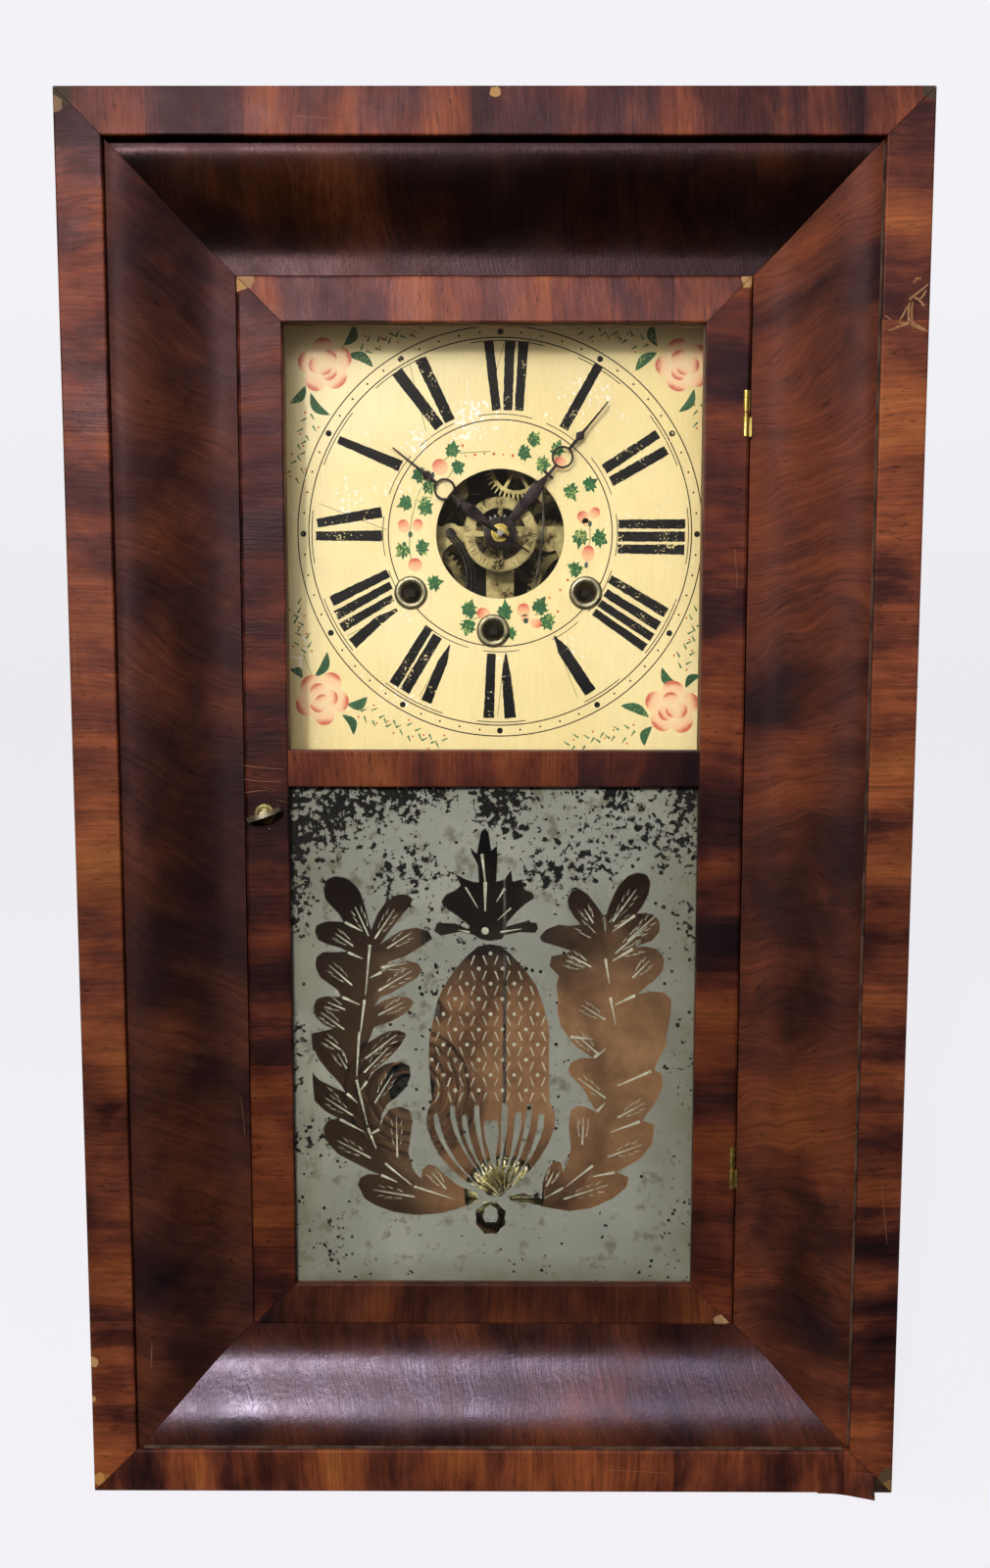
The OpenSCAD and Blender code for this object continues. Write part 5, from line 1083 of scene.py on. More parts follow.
# ---- grommets: thin metal rolled over the edges of the winding holes ----
# the holes' places from the dial's centre
GROMMETS = {"time": (42.4, -28.8), "strike": (-44.2, -28.8), "alarm": (-3.4, -47.5)}
for name, (u, v) in GROMMETS.items():
    centre = (DIAL.x + u, 0, DIAL.z + v)
    lip = [(6.55 + 1.75 * math.cos(a), DIAL_Y - 0.1 + 1.25 * math.sin(a))
           for a in (math.radians(20 - 20 * k) for k in range(11))]
    wall = [(4.95, DIAL_Y + 0.2), (4.9, DIAL_Y + 2.9), (5.25, DIAL_Y + 2.9), (5.3, DIAL_Y + 0.5),
            (6.5, DIAL_Y - 0.02)]
    grommet = turned("grommet_" + name, lip + wall, centre, "case", closed=True)
    wear(grommet, PALE_BRASS)
    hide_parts("dial_grommets")

# ---- hands ----
HAND_RING = 5.4                     # the outer radius of the ring in a hand


def pierced_hand(name, body, collar, bore, cross_r, ring_c, lozenge_r, tip, y, turn):
    """A blued steel hand pointing up, then turned: collar, dagger blade, cross, ring, lozenge and needle.
    The cross, ring, lozenge and tip are given by their distance from the arbor, in mm."""
    def at(points):
        return [(DIAL.x + x, DIAL.z + z) for x, z in points]
    swell = (collar + 2 * cross_r) / 3
    parts = [
        [ring(centre_2d, collar), ring(centre_2d, bore)],
        [at([(-1.5, collar - 1.2), (-2.2, collar + 4), (-3.1, swell), (-2.0, swell + 4), (-0.8, cross_r - 1),
             (-0.7, ring_c - HAND_RING + 0.6), (0.7, ring_c - HAND_RING + 0.6), (0.8, cross_r - 1),
             (2.0, swell + 4), (3.1, swell), (2.2, collar + 4), (1.5, collar - 1.2)])],
        [at([(-3.0, cross_r - 0.6), (-3.0, cross_r + 0.6), (-1.6, cross_r + 0.75), (1.6, cross_r + 0.75),
             (3.0, cross_r + 0.6), (3.0, cross_r - 0.6), (1.6, cross_r - 0.75), (-1.6, cross_r - 0.75)])],
        [ring((DIAL.x, DIAL.z + ring_c), HAND_RING), ring((DIAL.x, DIAL.z + ring_c), HAND_RING - 1.05)],
        [at([(-0.75, ring_c + HAND_RING - 0.5), (-0.8, lozenge_r - 2.4), (-2.4, lozenge_r),
             (-0.8, lozenge_r + 2.4), (-0.55, lozenge_r + 6), (-0.35, tip), (0.35, tip),
             (0.55, lozenge_r + 6), (0.8, lozenge_r + 2.4), (2.4, lozenge_r), (0.8, lozenge_r - 2.4),
             (0.75, ring_c + HAND_RING - 0.5)])],
    ]
    # each part lies a hair deeper than the last, so that no two faces share a plane
    made = []
    for k, outlines in enumerate(parts):
        made.append(flat(name + "_part", outlines, y + 0.01 * k, 0.8 - 0.02 * k, body, round_over=0.12,
                         turn=turn, about=(DIAL.x, 0, DIAL.z)))
    piece = joined(name, made, body)
    wear(piece, BLUED)
    return piece


minute = pierced_hand("minute_hand_blued", "minute", collar=8, bore=1.6, cross_r=36.7, ring_c=47.6,
                      lozenge_r=60.8, tip=82, y=-16.3, turn=MINUTE_TURN)
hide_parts("minute_hand")
hour = pierced_hand("hour_hand_blued", "hour", collar=6.6, bore=2.3, cross_r=24.6, ring_c=34.7,
                    lozenge_r=45.8, tip=67, y=-14.3, turn=HOUR_TURN)
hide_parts("hour_hand")
WASHER_SECTION = [(1.55, -16.45), (4.75, -16.45), (4.75, -16.8), (4.5, -17.05), (3.6, -17.2), (3.45, -17.15),
                  (3.3, -17.25), (2.2, -17.4), (1.55, -17.4)]
washer = turned("domed_washer", WASHER_SECTION, (DIAL.x, 0, DIAL.z), "centre", closed=True)
wear(washer, BRASS)
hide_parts("hand_washer")

# ---- numbers cut in the alarm disc ----
# the strokes of each number, as degrees from the middle of it
DISC_STROKES = [(-6, 0, 5), (0,), (-3, 3), (-5, 0, 5), (-6, -2, 2, 6), (-3, 3), (-5, -1, 4), (-6, -2, 2, 6),
                (-7, -4, -1, 4), (-4, 4), (-3, 3), (-6, -1, 4)]
DISC_FRONT = DIAL_Y - 0.5
STROKE_OUT, STROKE_IN = 17.3, 13.8
engraved = []
for hour_no, shifts in enumerate(DISC_STROKES):
    for k, shift in enumerate(shifts):
        a = math.radians(hour_no * 30 + shift)
        slant = 0.08 if k % 2 else -0.05
        engraved.append(stroke(clock_point(STROKE_OUT, a), clock_point(STROKE_IN, a + slant), 0.28, 0.22))
engraved += [arc_band(r, 0.16, k * 30 + 1, k * 30 + 29) for r in (17.75, 13.3) for k in range(12)]
cut = flat("alarm_disc_figures", engraved, DISC_FRONT - 0.02, 0, "alarm_disc")
wear(cut, old_metal("dirt_in_engraving", "#4a4128", "#2e2819", "#15120c", gloss=0.6))

# ---- the painted tablet: one sheet of paint behind the glass, scraped away where the design is clear ----
TABLET_Y = GLASS_BACK + 0.05
DESIGN_SCALE = 4.0
DESIGN_X, DESIGN_Y = 295, 800       # the pixel where the design's units start


def tab(x, y):
    """A point of the tablet's design, drawn at four units to a pixel of the photograph, in (x, z)."""
    point = from_photo(DESIGN_X + x / DESIGN_SCALE, DESIGN_Y + y / DESIGN_SCALE, TABLET_Y)
    return (point.x, point.z)


LEFT_BRANCH = [(335, 600), (325, 560), (310, 500), (290, 440), (265, 405), (230, 382), (185, 375), (150, 395),
               (140, 430), (150, 470), (175, 500), (205, 530), (222, 562), (200, 560), (150, 560), (115, 575),
               (105, 600), (118, 635), (160, 655), (215, 668), (236, 684), (190, 685), (140, 685), (112, 705),
               (108, 745), (130, 790), (165, 815), (198, 838), (212, 866), (190, 868), (150, 865), (115, 875),
               (100, 905), (110, 950), (140, 980), (180, 998), (150, 1004), (105, 1015), (92, 1020),
               (95, 1060), (120, 1120), (160, 1170), (200, 1210), (232, 1258), (160, 1225), (120, 1205),
               (96, 1175), (98, 1230), (104, 1290), (150, 1335), (200, 1362), (160, 1370), (140, 1400),
               (150, 1450), (200, 1510), (260, 1540), (330, 1575), (372, 1592), (320, 1590), (290, 1605),
               (283, 1640), (310, 1690), (360, 1720), (430, 1745), (520, 1757), (620, 1750), (700, 1728),
               (770, 1700), (768, 1668), (735, 1655), (690, 1636), (640, 1598), (600, 1560), (570, 1549),
               (545, 1570), (538, 1612), (505, 1570), (487, 1500), (495, 1440), (505, 1370), (490, 1330),
               (455, 1315), (410, 1325), (385, 1360), (371, 1405), (378, 1350), (400, 1305), (440, 1275),
               (478, 1235), (496, 1190), (492, 1150), (455, 1130), (395, 1140), (348, 1170), (322, 1208),
               (338, 1175), (375, 1145), (420, 1105), (455, 1065), (478, 1025), (478, 1018), (450, 1003),
               (405, 1006), (360, 1030), (320, 1055), (350, 988), (400, 975), (450, 950), (490, 922),
               (510, 890), (490, 870), (440, 865), (390, 880), (350, 905), (372, 868), (420, 850), (470, 820),
               (520, 792), (545, 760), (525, 730), (480, 720), (430, 735), (382, 765), (378, 742), (420, 728),
               (480, 700), (540, 662), (585, 630), (570, 600), (520, 585), (460, 595), (410, 625), (372, 655),
               (395, 620), (440, 560), (490, 500), (505, 470), (485, 450), (440, 450), (395, 480), (360, 530),
               (345, 572)]
RIGHT_BRANCH = [(1190, 572), (1160, 540), (1140, 500), (1135, 470), (1150, 440), (1180, 425), (1220, 450),
                (1250, 490), (1283, 538), (1295, 530), (1312, 480), (1340, 420), (1380, 375), (1420, 360),
                (1460, 370), (1475, 400), (1465, 450), (1440, 500), (1418, 530), (1450, 524), (1485, 532),
                (1512, 562), (1510, 602), (1480, 640), (1430, 656), (1408, 668), (1450, 662), (1500, 672),
                (1530, 710), (1525, 760), (1490, 800), (1440, 840), (1418, 858), (1470, 846), (1530, 850),
                (1560, 880), (1556, 940), (1545, 1000), (1535, 1020), (1540, 1060), (1512, 1115),
                (1488, 1165), (1520, 1180), (1524, 1240), (1488, 1305), (1440, 1372), (1490, 1388),
                (1482, 1465), (1430, 1530), (1335, 1582), (1386, 1602), (1375, 1645), (1320, 1690),
                (1230, 1730), (1140, 1742), (1060, 1728), (985, 1708), (905, 1700), (892, 1678), (960, 1668),
                (1030, 1690), (1034, 1622), (1052, 1570), (1085, 1535), (1110, 1542), (1117, 1584),
                (1138, 1540), (1150, 1480), (1140, 1400), (1150, 1330), (1180, 1310), (1220, 1320),
                (1252, 1338), (1222, 1282), (1192, 1232), (1150, 1190), (1137, 1165), (1150, 1135),
                (1190, 1116), (1240, 1118), (1200, 1090), (1160, 1060), (1132, 1020), (1140, 1030),
                (1110, 990), (1094, 930), (1096, 870), (1090, 820), (1100, 782), (1062, 742), (1070, 702),
                (1130, 690), (1150, 680), (1090, 660), (1030, 642), (1022, 622), (1050, 592), (1100, 572),
                (1150, 578)]
CROWN = [(740, 258), (765, 285), (783, 195), (800, 178), (814, 200), (825, 272), (848, 250), (850, 300),
         (845, 398), (880, 388), (905, 350), (912, 398), (950, 388), (960, 430), (992, 442), (1000, 465),
         (960, 492), (930, 520), (892, 560), (882, 582), (960, 560), (1010, 566), (1016, 590), (1004, 606),
         (940, 604), (880, 615), (868, 632), (820, 640), (775, 630), (755, 616), (700, 602), (620, 618),
         (592, 600), (604, 566), (680, 568), (728, 590), (738, 580), (690, 540), (640, 505), (620, 480),
         (640, 450), (680, 432), (700, 412), (676, 365), (720, 388), (757, 400), (774, 400), (770, 330),
         (745, 282)]
FRUIT = [(818, 652), (770, 662), (720, 705), (672, 762), (632, 822), (606, 882), (590, 950), (580, 1000),
         (572, 1040), (570, 1120), (575, 1200), (583, 1290), (564, 1340), (560, 1380), (575, 1440),
         (610, 1510), (660, 1570), (720, 1618), (790, 1656), (812, 1680), (866, 1680), (884, 1660),
         (912, 1638), (970, 1588), (1020, 1530), (1060, 1460), (1082, 1400), (1085, 1350), (1062, 1295),
         (1060, 1200), (1060, 1100), (1062, 1010), (1056, 980), (1038, 900), (1008, 820), (960, 752),
         (910, 700), (866, 660)]
KNOB_X, KNOB_Y = 822, 1768          # the ring below the branches: eight teeth round an open heart
KNOB_REACH = ((58, 62), (66, 72))   # across and up, to a dip and to a tooth
KNOB_HEART = [(822, 1716), (846, 1730), (854, 1764), (844, 1786), (800, 1786), (790, 1764), (800, 1730)]
left_branch, right_branch, crown, fruit, knob_heart = (
    [tab(*p) for p in line] for line in (LEFT_BRANCH, RIGHT_BRANCH, CROWN, FRUIT, KNOB_HEART))
knob = [tab(KNOB_X + KNOB_REACH[k % 2][0] * math.sin(a), KNOB_Y - KNOB_REACH[k % 2][1] * math.cos(a))
        for k, a in enumerate(2 * math.pi * j / 16 for j in range(16))]


def inside(point, outline):
    """True if a point lies in an outline."""
    hit = False
    for (ax, az), (bx, bz) in zip(outline, outline[1:] + outline[:1]):
        if (az > point[1]) != (bz > point[1]) and point[0] < (bx - ax) * (point[1] - az) / (bz - az) + ax:
            hit = not hit
    return hit


def vein(a, b, wide):
    """A tapering line of paint left standing in a clear leaf."""
    return stroke(tab(*a), tab(*b), wide, wide * 0.3)


BRANCH_STEMS = [((330, 655), (312, 860)), ((308, 880), (290, 1030)), ((286, 1010), (276, 1190)),
                ((276, 1206), (320, 1390)), ((322, 1402), (356, 1486)), ((392, 1546), (500, 1634)),
                ((510, 1640), (668, 1690)), ((1282, 545), (1300, 700)), ((1290, 712), (1306, 812)),
                ((1310, 870), (1332, 980)), ((1238, 1556), (1130, 1640)), ((1118, 1646), (1042, 1688))]
# one or two veins in each lobe, from its tip to its root
LOBES = [((270, 500), (325, 620)), ((430, 510), (350, 630)), ((500, 605), (400, 670)),
         ((190, 610), (262, 660)), ((480, 730), (374, 748)), ((165, 740), (258, 820)),
         ((500, 762), (366, 842)), ((160, 890), (230, 920)), ((468, 888), (365, 942)),
         ((130, 930), (225, 1000)), ((150, 1040), (210, 1082)), ((440, 1020), (310, 1120)),
         ((200, 1100), (236, 1160)), ((410, 1070), (306, 1176)), ((150, 1190), (240, 1300)),
         ((424, 1180), (350, 1300)), ((150, 1280), (262, 1352)), ((200, 1455), (334, 1524)),
         ((438, 1350), (442, 1520)), ((346, 1654), (510, 1682)), ((580, 1580), (640, 1650)),
         ((1180, 570), (1262, 636)), ((1205, 510), (1240, 566)), ((1415, 430), (1320, 560)),
         ((1460, 580), (1330, 690)), ((1130, 720), (1210, 752)), ((1470, 720), (1400, 790)),
         ((1150, 700), (1232, 745)), ((1380, 510), (1290, 600)), ((1490, 540), (1380, 640)),
         ((1190, 900), (1290, 960)), ((1450, 660), (1330, 700)), ((1200, 1360), (1196, 1470)),
         ((1180, 1200), (1290, 1280)), ((1440, 1470), (1300, 1520)), ((1300, 1634), (1120, 1692)),
         ((1080, 1580), (1050, 1640)), ((1450, 1300), (1340, 1360)), ((1170, 1020), (1260, 1100))]
# slits between the lobes, from the notch to the stem
SLITS = [((310, 505), (330, 600)), ((222, 560), (300, 600)), ((236, 684), (300, 712)),
         ((212, 866), (290, 900)), ((382, 765), (330, 790)), ((320, 1055), (300, 1030)),
         ((232, 1258), (280, 1300)), ((322, 1208), (290, 1250)), ((371, 1405), (330, 1430)),
         ((200, 1362), (310, 1420)), ((372, 1592), (440, 1622)), ((1418, 530), (1320, 600)),
         ((1408, 668), (1320, 720)), ((1418, 858), (1330, 900)), ((1488, 1165), (1340, 1230)),
         ((1440, 1372), (1310, 1420)), ((1335, 1582), (1240, 1600)), ((1252, 1338), (1290, 1300)),
         ((1240, 1118), (1290, 1080)), ((1283, 538), (1290, 600)), ((1140, 1030), (1240, 1040))]
# short ticks beside each vein: the share of its length where each starts, and how far off it
VEIN_TICKS = ((0.3, 13), (0.55, 18), (0.75, 16))
TICK_RUN, TICK_SPLAY = 26, 7
veins = [vein(a, b, 1.3) for a, b in BRANCH_STEMS]
for tip_end, root in LOBES:
    veins.append(vein(root, tip_end, 0.95))
    run = Vector(tip_end) - Vector(root)
    across = Vector((-run.y, run.x)).normalized()
    for share, off in VEIN_TICKS:
        for hand_side in (-1, 1):
            start = Vector(root) + run * share + across * hand_side * off
            stop = start + run.normalized() * TICK_RUN + across * hand_side * TICK_SPLAY
            veins.append(vein(start, stop, 0.5))
for notch, root in SLITS:
    veins.append(vein(Vector(notch) + (Vector(root) - Vector(notch)) * 0.08, root, 1.5))
CROWN_VEINS = [((787, 285), (800, 400), 1.6), ((800, 400), (800, 520), 1.9), ((720, 420), (770, 505), 1.0),
               ((880, 425), (846, 480), 1.3), ((905, 505), (850, 555), 0.9), ((640, 525), (700, 560), 0.8),
               ((862, 603), (948, 590), 1.0), ((736, 604), (690, 594), 1.0)]
CROWN_DOT = (800, 598)
crown_veins = [vein(*line) for line in CROWN_VEINS] + [[tab(*p) for p in ring(CROWN_DOT, 15, 12)]]
# the fruit's pattern: rows of dots, each with a tick at its lower left and lower right
FRUIT_X, FRUIT_TOP, FRUIT_FOOT = 822, 690, 1270
ROW_STEP, DOT_STEP = 62, 96
# a tick's corners: out from the dot, then to the right, and down
TICK = [(30, -3, 10), (30, 3, 10), (16, 2, 46), (16, -2, 46)]
fruit_marks = []
for row in range(11):
    v = FRUIT_TOP + row * ROW_STEP
    for col in range(-4, 5):
        u = FRUIT_X + (col + (0.5 if row % 2 else 0)) * DOT_STEP
        marks = [ring((u, v), 8, 8)]
        marks += [[(u + s * out + right, v + down) for out, right, down in TICK] for s in (-1, 1)]
        for placed in ([tab(*p) for p in mark] for mark in marks):
            if all(inside(p, fruit) for p in placed) and v < FRUIT_FOOT:
                fruit_marks.append(placed)
# the cup under the fruit: bars of paint that draw together at its foot
cup_bars = []
# each bar's top, its width there and its foot
CUP_BARS = [(600, 1345, 20, 770, 1635), (665, 1312, 18, 790, 1600), (715, 1350, 20, 800, 1590),
            (765, 1312, 18, 815, 1575), (825, 1372, 52, 836, 1560), (880, 1302, 22, 858, 1580),
            (935, 1340, 24, 880, 1590), (980, 1308, 20, 895, 1612), (1030, 1345, 22, 905, 1630)]
for top_x, top_y, wide, foot_x, foot_y in CUP_BARS:
    left_side, right_side = [], []
    for k in range(7):
        t = k / 6
        x = top_x + (foot_x - top_x) * (t ** 1.9)
        y = top_y + (foot_y - top_y) * t
        half = wide * (0.5 + 0.25 * math.sin(math.pi * min(t * 1.4, 1))) * (1 - 0.72 * t)
        left_side.append(tab(x - half, y))
        right_side.append(tab(x + half, y))
    bar = left_side + right_side[::-1]
    if all(inside(p, fruit) for p in bar):
        cup_bars.append(bar)
SHEET_X, SHEET_LOW, SHEET_HIGH = SIGHT + 3, DOOR_Z0 + STILE_W - 3, RAIL_Z0 + 3
border = [(-SHEET_X, SHEET_LOW), (SHEET_X, SHEET_LOW), (SHEET_X, SHEET_HIGH), (-SHEET_X, SHEET_HIGH)]
# only the marks that lie wholly inside what they mark
whole = [v for v in veins
         if all(inside(p, left_branch) for p in v) or all(inside(p, right_branch) for p in v)]
whole += [v for v in crown_veins if all(inside(p, crown) for p in v)]
lines = flat("tablet_scraped_lines", whole + fruit_marks, TABLET_Y, 0, "door")
wear(lines, brush_paint("pale_vein_paint", "#9c9b8a", "#6f6f62", 0.1, gloss=0.6))
tablet = flat("tablet_paint", [border, left_branch, right_branch, crown, fruit, knob, knob_heart] + cup_bars,
              TABLET_Y + 0.02, 0, "door")
wear(tablet, tablet_paint())

# ---- the bare label pasted inside the back ----
LABEL = [(-104, 52), (103, 50), (104, 301), (-104, 303)]
LABEL_Y, LABEL_THICK = 49.75, 0.2
label = flat("label_sheet", [ragged(LABEL, 0.5, 5)], LABEL_Y, LABEL_THICK, "case")
wear(label, label_paper())

# ---- pendulum bob: stamped brass shell with flutes ----
BOB = Vector((5.6, -5.5, 131.2))
BOB_SECTION = [(0, -11.3), (3, -11.4), (5, -10.9), (8, -10.5), (12, -10.2), (16, -9.6), (19, -8.4),
               (20.6, -6.6), (21, -5.5), (20.6, -4.6), (18, -2.4), (12, -0.4), (6, 0.3), (0, 0.4)]
FLUTES, FLUTE_DEPTH = 22, 0.95
FLUTE_HEART, FLUTE_RIM = 4, 21.2    # the flutes fade out towards both, over these lengths
HEART_FADE, RIM_FADE = 8, 2.5
bob = turned("stamped_bob", BOB_SECTION, tuple(BOB), "pendulum", steps=FLUTES * 8)
for corner in bob.data.vertices:
    rel = corner.co / MM - BOB
    r = math.hypot(rel.x, rel.z)
    if rel.y < 0:
        fade = min(1, max(0, (r - FLUTE_HEART) / HEART_FADE)) * min(1, max(0, (FLUTE_RIM - r) / RIM_FADE))
        corner.co.y += FLUTE_DEPTH * fade * math.cos(FLUTES * math.atan2(rel.x, rel.z)) * MM
wear(bob, old_metal("stamped_brass", "#d3cba2", "#8f8658", "#40381f", gloss=0.2))
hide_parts("pendulum_bob")

# ---- latch ----
TACK_PX = (275, 846)            # the small brass tack below the rose, in the photograph
LATCH = (-110.6, 0, 335)
ROSE_SECTION = [(2.1, -39), (5.3, -39), (5.3, -39.5), (4.9, -40.0), (4.0, -40.2), (3.4, -40.1), (3.1, -40.5),
                (2.1, -40.7)]
rose = turned("latch_rose_domed", ROSE_SECTION, LATCH, "door", closed=True)
wear(rose, DULL_BRASS)
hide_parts("latch_rose")
TACK_SECTION = [(0, DOOR_Y - 0.9), (0.5, DOOR_Y - 0.75), (0.8, DOOR_Y - 0.3), (0.9, DOOR_Y + 0.1),
                (0, DOOR_Y + 0.1)]
spot = from_photo(*TACK_PX, DOOR_Y)
tack = turned("latch_tack", TACK_SECTION, (spot.x, DOOR_Y, spot.z), "door", steps=20)
wear(tack, PALE_BRASS)

# ---- weight cords: the same run as the part's, wound with visible strands ----
CORD_R = 0.9
LAY = 4                             # the length of one twist of its strands, in mm


def cord_tube(name, points, body, *nodes):
    """A tube along a line, with a UV that runs round it and along it, so that the strands wind round it."""
    line = bpy.data.curves.new(name, "CURVE")
    line.dimensions = "3D"
    line.bevel_depth = CORD_R * MM
    line.bevel_resolution = 2
    line.use_fill_caps = True
    spline = line.splines.new("POLY")
    spline.points.add(len(points) - 1)
    for point, co in zip(spline.points, points):
        point.co = (*(Vector(co) * MM), 1)
    piece = as_mesh(name, line)
    own = piece.data.uv_layers.new(name="lay")
    track_line = [Vector(p) * MM for p in points]
    lengths = [0.0]
    for a, b in zip(track_line, track_line[1:]):
        lengths.append(lengths[-1] + (b - a).length)
    for loop in piece.data.loops:
        co = piece.data.vertices[loop.vertex_index].co
        near = min(range(len(track_line)), key=lambda i: (track_line[i] - co).length)
        ahead = track_line[min(near + 1, len(track_line) - 1)] - track_line[max(near - 1, 0)]
        off = co - track_line[near]
        side = ahead.normalized().cross(Vector((0, 1, 0)))
        turn = math.atan2(off.y, off.dot(side) if side.length else off.x)
        along = (lengths[near] + off.dot(ahead.normalized())) / (LAY * MM)
        own.data[loop.index].uv = (turn / (2 * math.pi), along)
    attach(piece, body)
    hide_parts(*nodes)
    return piece


cord_finish = laid_cord("waxed_linen_cord")
CORD_Y = (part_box("cord_drop_time")[0].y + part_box("cord_drop_time")[1].y) / 2 / MM
DRUM_R, PULLEY_R, CORD_GAP = 15, 15, 0.4
DROP_X = 154.6
PULLEY_X, PULLEY_Z = DROP_X - PULLEY_R - CORD_R - CORD_GAP, 625
DROP_TOP = PULLEY_Z - 2             # where the straight drop to the weight starts
TURN_STEPS, PULLEY_STEPS = 20, 8
WOUND_STEPS = 30                    # a turn and a half of cord on the drum
PITCH = 1.4 * 2 * CORD_R            # from one turn to the next, along the drum
for side, (u, v), which in ((1, GROMMETS["time"], "time"), (-1, GROMMETS["strike"], "strike")):
    drum = Vector((DIAL.x + u, DIAL.z + v))
    pulley = Vector((side * PULLEY_X, PULLEY_Z))
    reach = DRUM_R + CORD_R + CORD_GAP
    run = pulley - drum
    a = math.atan2(run.y, run.x) + side * math.pi / 2
    route = []
    for k in range(WOUND_STEPS, -1, -1):
        b = a + side * k * 2 * math.pi / TURN_STEPS
        route.append((drum.x + reach * math.cos(b), CORD_Y + k * PITCH / TURN_STEPS,
                      drum.y + reach * math.sin(b)))
    sweep = (0 if side > 0 else math.pi) - a
    for k in range(PULLEY_STEPS + 1):
        b = a + k / PULLEY_STEPS * sweep
        route.append((pulley.x + reach * math.cos(b), CORD_Y, pulley.y + reach * math.sin(b)))
    route.append((side * DROP_X, CORD_Y, DROP_TOP))
    run_piece = cord_tube("cord_run_" + which + "_laid", route, "case", "cord_runs")
    wear(run_piece, cord_finish)
    node = "cord_drop_" + which
    low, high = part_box(node)
    ends = [(side * DROP_X, CORD_Y, z / MM) for z in (high.z, low.z)]
    drop = cord_tube("cord_drop_" + which + "_laid", ends, frame["nodes"][node]["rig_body"], node)
    wear(drop, cord_finish)
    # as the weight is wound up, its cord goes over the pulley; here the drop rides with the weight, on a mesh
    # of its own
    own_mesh(drop)

# ---- finishes of the parts that stay as they are ----
# rust is an oxide: brown, dull and not metallic
RUST = mottled("rusted_gong_wire", 160.0, [(0.35, "#3d2a1d"), (0.65, "#6a4a30")], 0.85)
SIDE = veneer("case_side_stain", 0, [(0.3, "#2a1610"), (0.5, "#4a2619"), (0.7, "#633422")], 17, band=40,
              along=300, gloss=0.4, flame=0.6)
BACK = old_pine("old_pine_back", 0, "#9a7650", "#6c4c30", 5, inside_shade=True)
INNER = old_pine("old_pine_inner", 0, "#7a5637", "#4c3320", 9)
DIAL_PAINT = dial_enamel()
GLASS = window_glass()
finishes = {
    "case_boards": SIDE, "back_board": BACK,
    "channel_boards": INNER, "mounting_cleats": INNER, "glass_beads": INNER,
    "dial_plate": DIAL_PAINT, "upper_glass": GLASS, "tablet_glass": GLASS,
    "gong_coil": RUST, "gong_base": IRON, "pulley_brackets": IRON, "weight_time": IRON, "weight_strike": IRON,
    "hinge_case_leaves": HINGE_BRASS, "hinge_door_leaves": HINGE_BRASS, "latch_knob": PALE_HIGHLIGHT_BRASS,
    "front_plate": PLATE_BRASS, "taper_pin": BLUED,
    "centre_arbor": STEEL, "lifting_lever": IRON, "verge": STEEL, "pendulum_rod": STEEL, "hammer": STEEL,
    "drum_time": DRUM_BRASS, "drum_strike": DRUM_BRASS, "alarm_barrel": DRUM_BRASS,
    "pulley_time": BRASS, "pulley_strike": BRASS, "alarm_disc": DISC_BRASS,
}
# painted shade: the wheels behind the dial take the darker brass
finishes.update((node, SHADED_BRASS) for node in (
    "back_plate", "plate_pillars", "great_wheel_time", "great_wheel_strike", "second_wheel", "third_wheel",
    "strike_wheel", "count_wheel", "fly", "hour_wheel", "minute_wheel"))
for node, part in frame["nodes"].items():
    if not part.hide_render:
        wear(part, finishes.get(node, DULL_BRASS))

# ---- stage: floor, backdrop and studio light ----
clear_selection()
bpy.ops.mesh.primitive_plane_add(size=80, location=(0, 0, -0.0002))
floor = name_it("floor")
paper, tree, shader, place = new_finish("white_studio_floor")
path = add(tree, "LightPath").outputs["Is Camera Ray"]
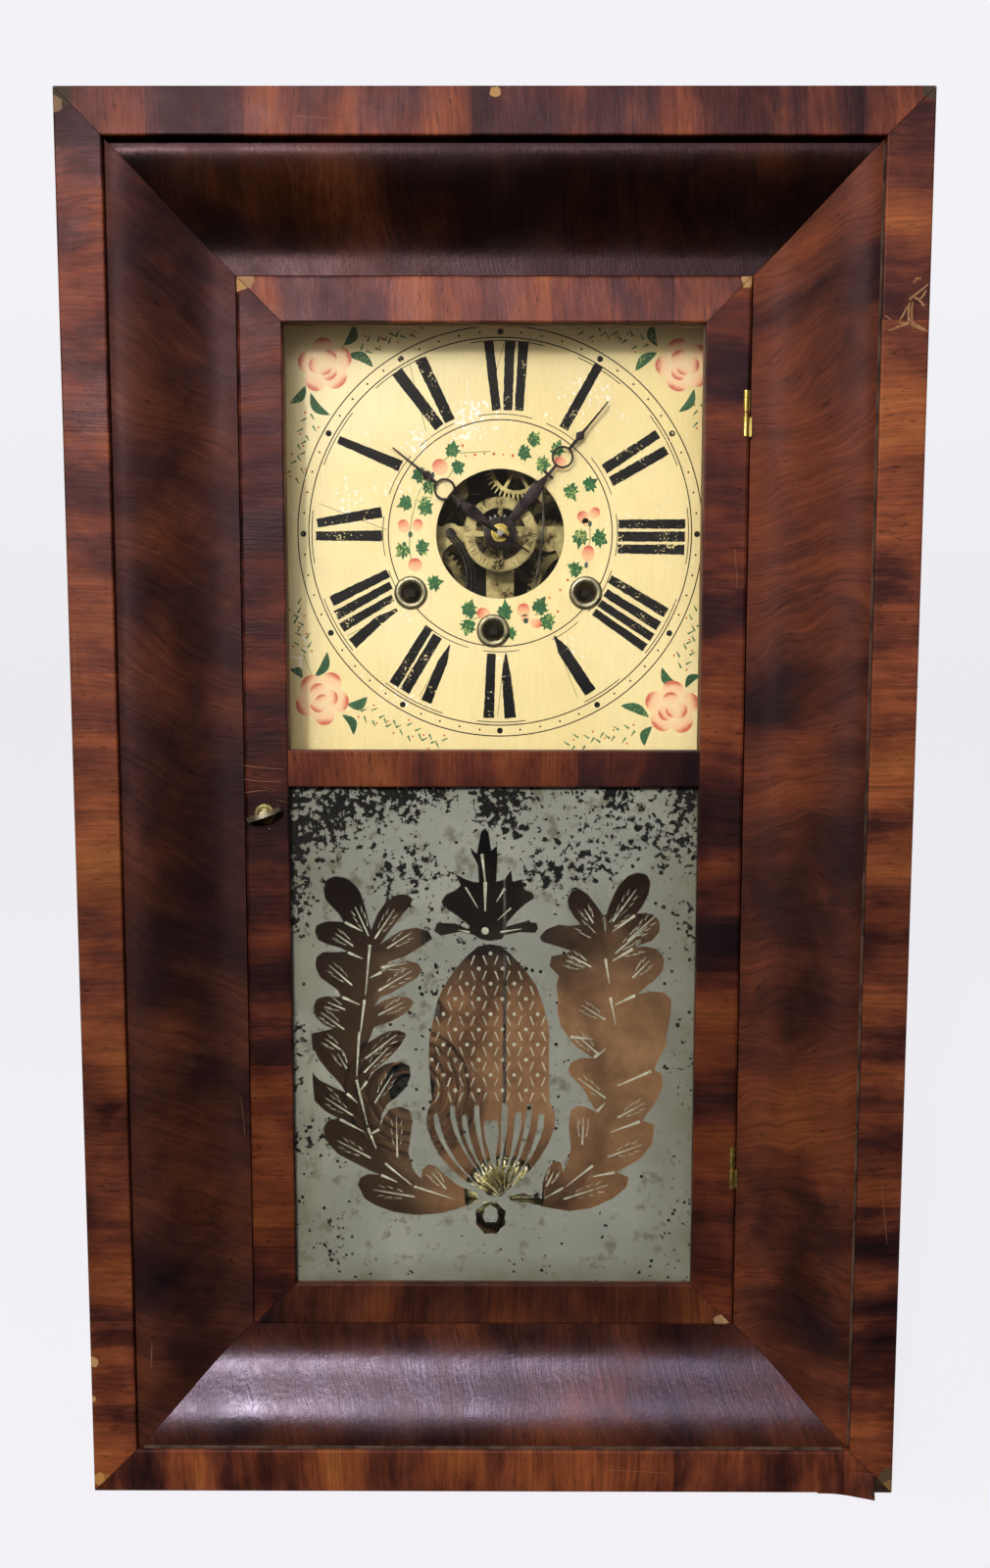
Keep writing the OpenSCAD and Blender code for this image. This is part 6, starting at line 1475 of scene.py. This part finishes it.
# the camera sees a pale floor with a faint shadow; the clock itself sees the darker room floor in front of it
shade = add(tree, "Mix", {0: path, 6: "#38363a", 7: "#706f74"}, data_type="RGBA")
feed(shader, {"Base Color": shade, "Roughness": 0.9, "Specular IOR Level": 0.1})
seen = add(tree, "Math", {0: path, 1: 0.855}, operation="MULTIPLY")
glow = add(tree, "Emission", {"Color": "#f9f8fd", "Strength": seen})
feed(tree.nodes["Material Output"], {"Surface": add(tree, "AddShader", {0: shader, 1: glow})})
wear(floor, paper)

# the camera sees a bright backdrop; the clock is lit by a dim warm room, and mirrors it
world = bpy.data.worlds.new("studio")
bpy.context.scene.world = world
world.use_nodes = True
tree = world.node_tree
tree.nodes.clear()
split = add(tree, "SeparateXYZ", {"Vector": add(tree, "TexCoord").outputs["Generated"]})
height = add(tree, "MapRange", {"Value": split.outputs["Z"], "From Min": 0.0, "From Max": 0.3, "To Min": 0.88,
                                "To Max": 0.95})
path = add(tree, "LightPath").outputs["Is Camera Ray"]
strength = add(tree, "Mix", {0: path, 2: 0.13, 3: height}, data_type="FLOAT")
shade = add(tree, "Mix", {0: path, 6: "#ffe6d2", 7: "#f9f8fd"}, data_type="RGBA")
sky = add(tree, "Background", {"Color": shade, "Strength": strength})
add(tree, "OutputWorld", {"Surface": sky})


def lamp(name, place, target, size, power, shade, size_y=None):
    """A soft box aimed at a point."""
    light = bpy.data.lights.new(name, "AREA")
    light.shape = "RECTANGLE"
    light.size = size
    light.size_y = size_y or size
    light.energy = power
    light.color = linear(shade)[:3]
    holder = bpy.data.objects.new(name, light)
    holder.location = place
    holder.rotation_euler = (Vector(target) - Vector(place)).to_track_quat("-Z", "Y").to_euler()
    bpy.context.scene.collection.objects.link(holder)


lamp("key_box", (-0.65, -2.2, 1.2), (0, 0, 0.4), 0.16, 26, "#fff8ee")
lamp("front_box", (-0.25, -3.6, 2.05), (0, 0, 0.25), 2.8, 50, "#f4f0fa", 0.75)
lamp("top_box", (-0.25, -0.45, 1.6), (0, 0, 0.4), 0.25, 3, "#f4f2ff")
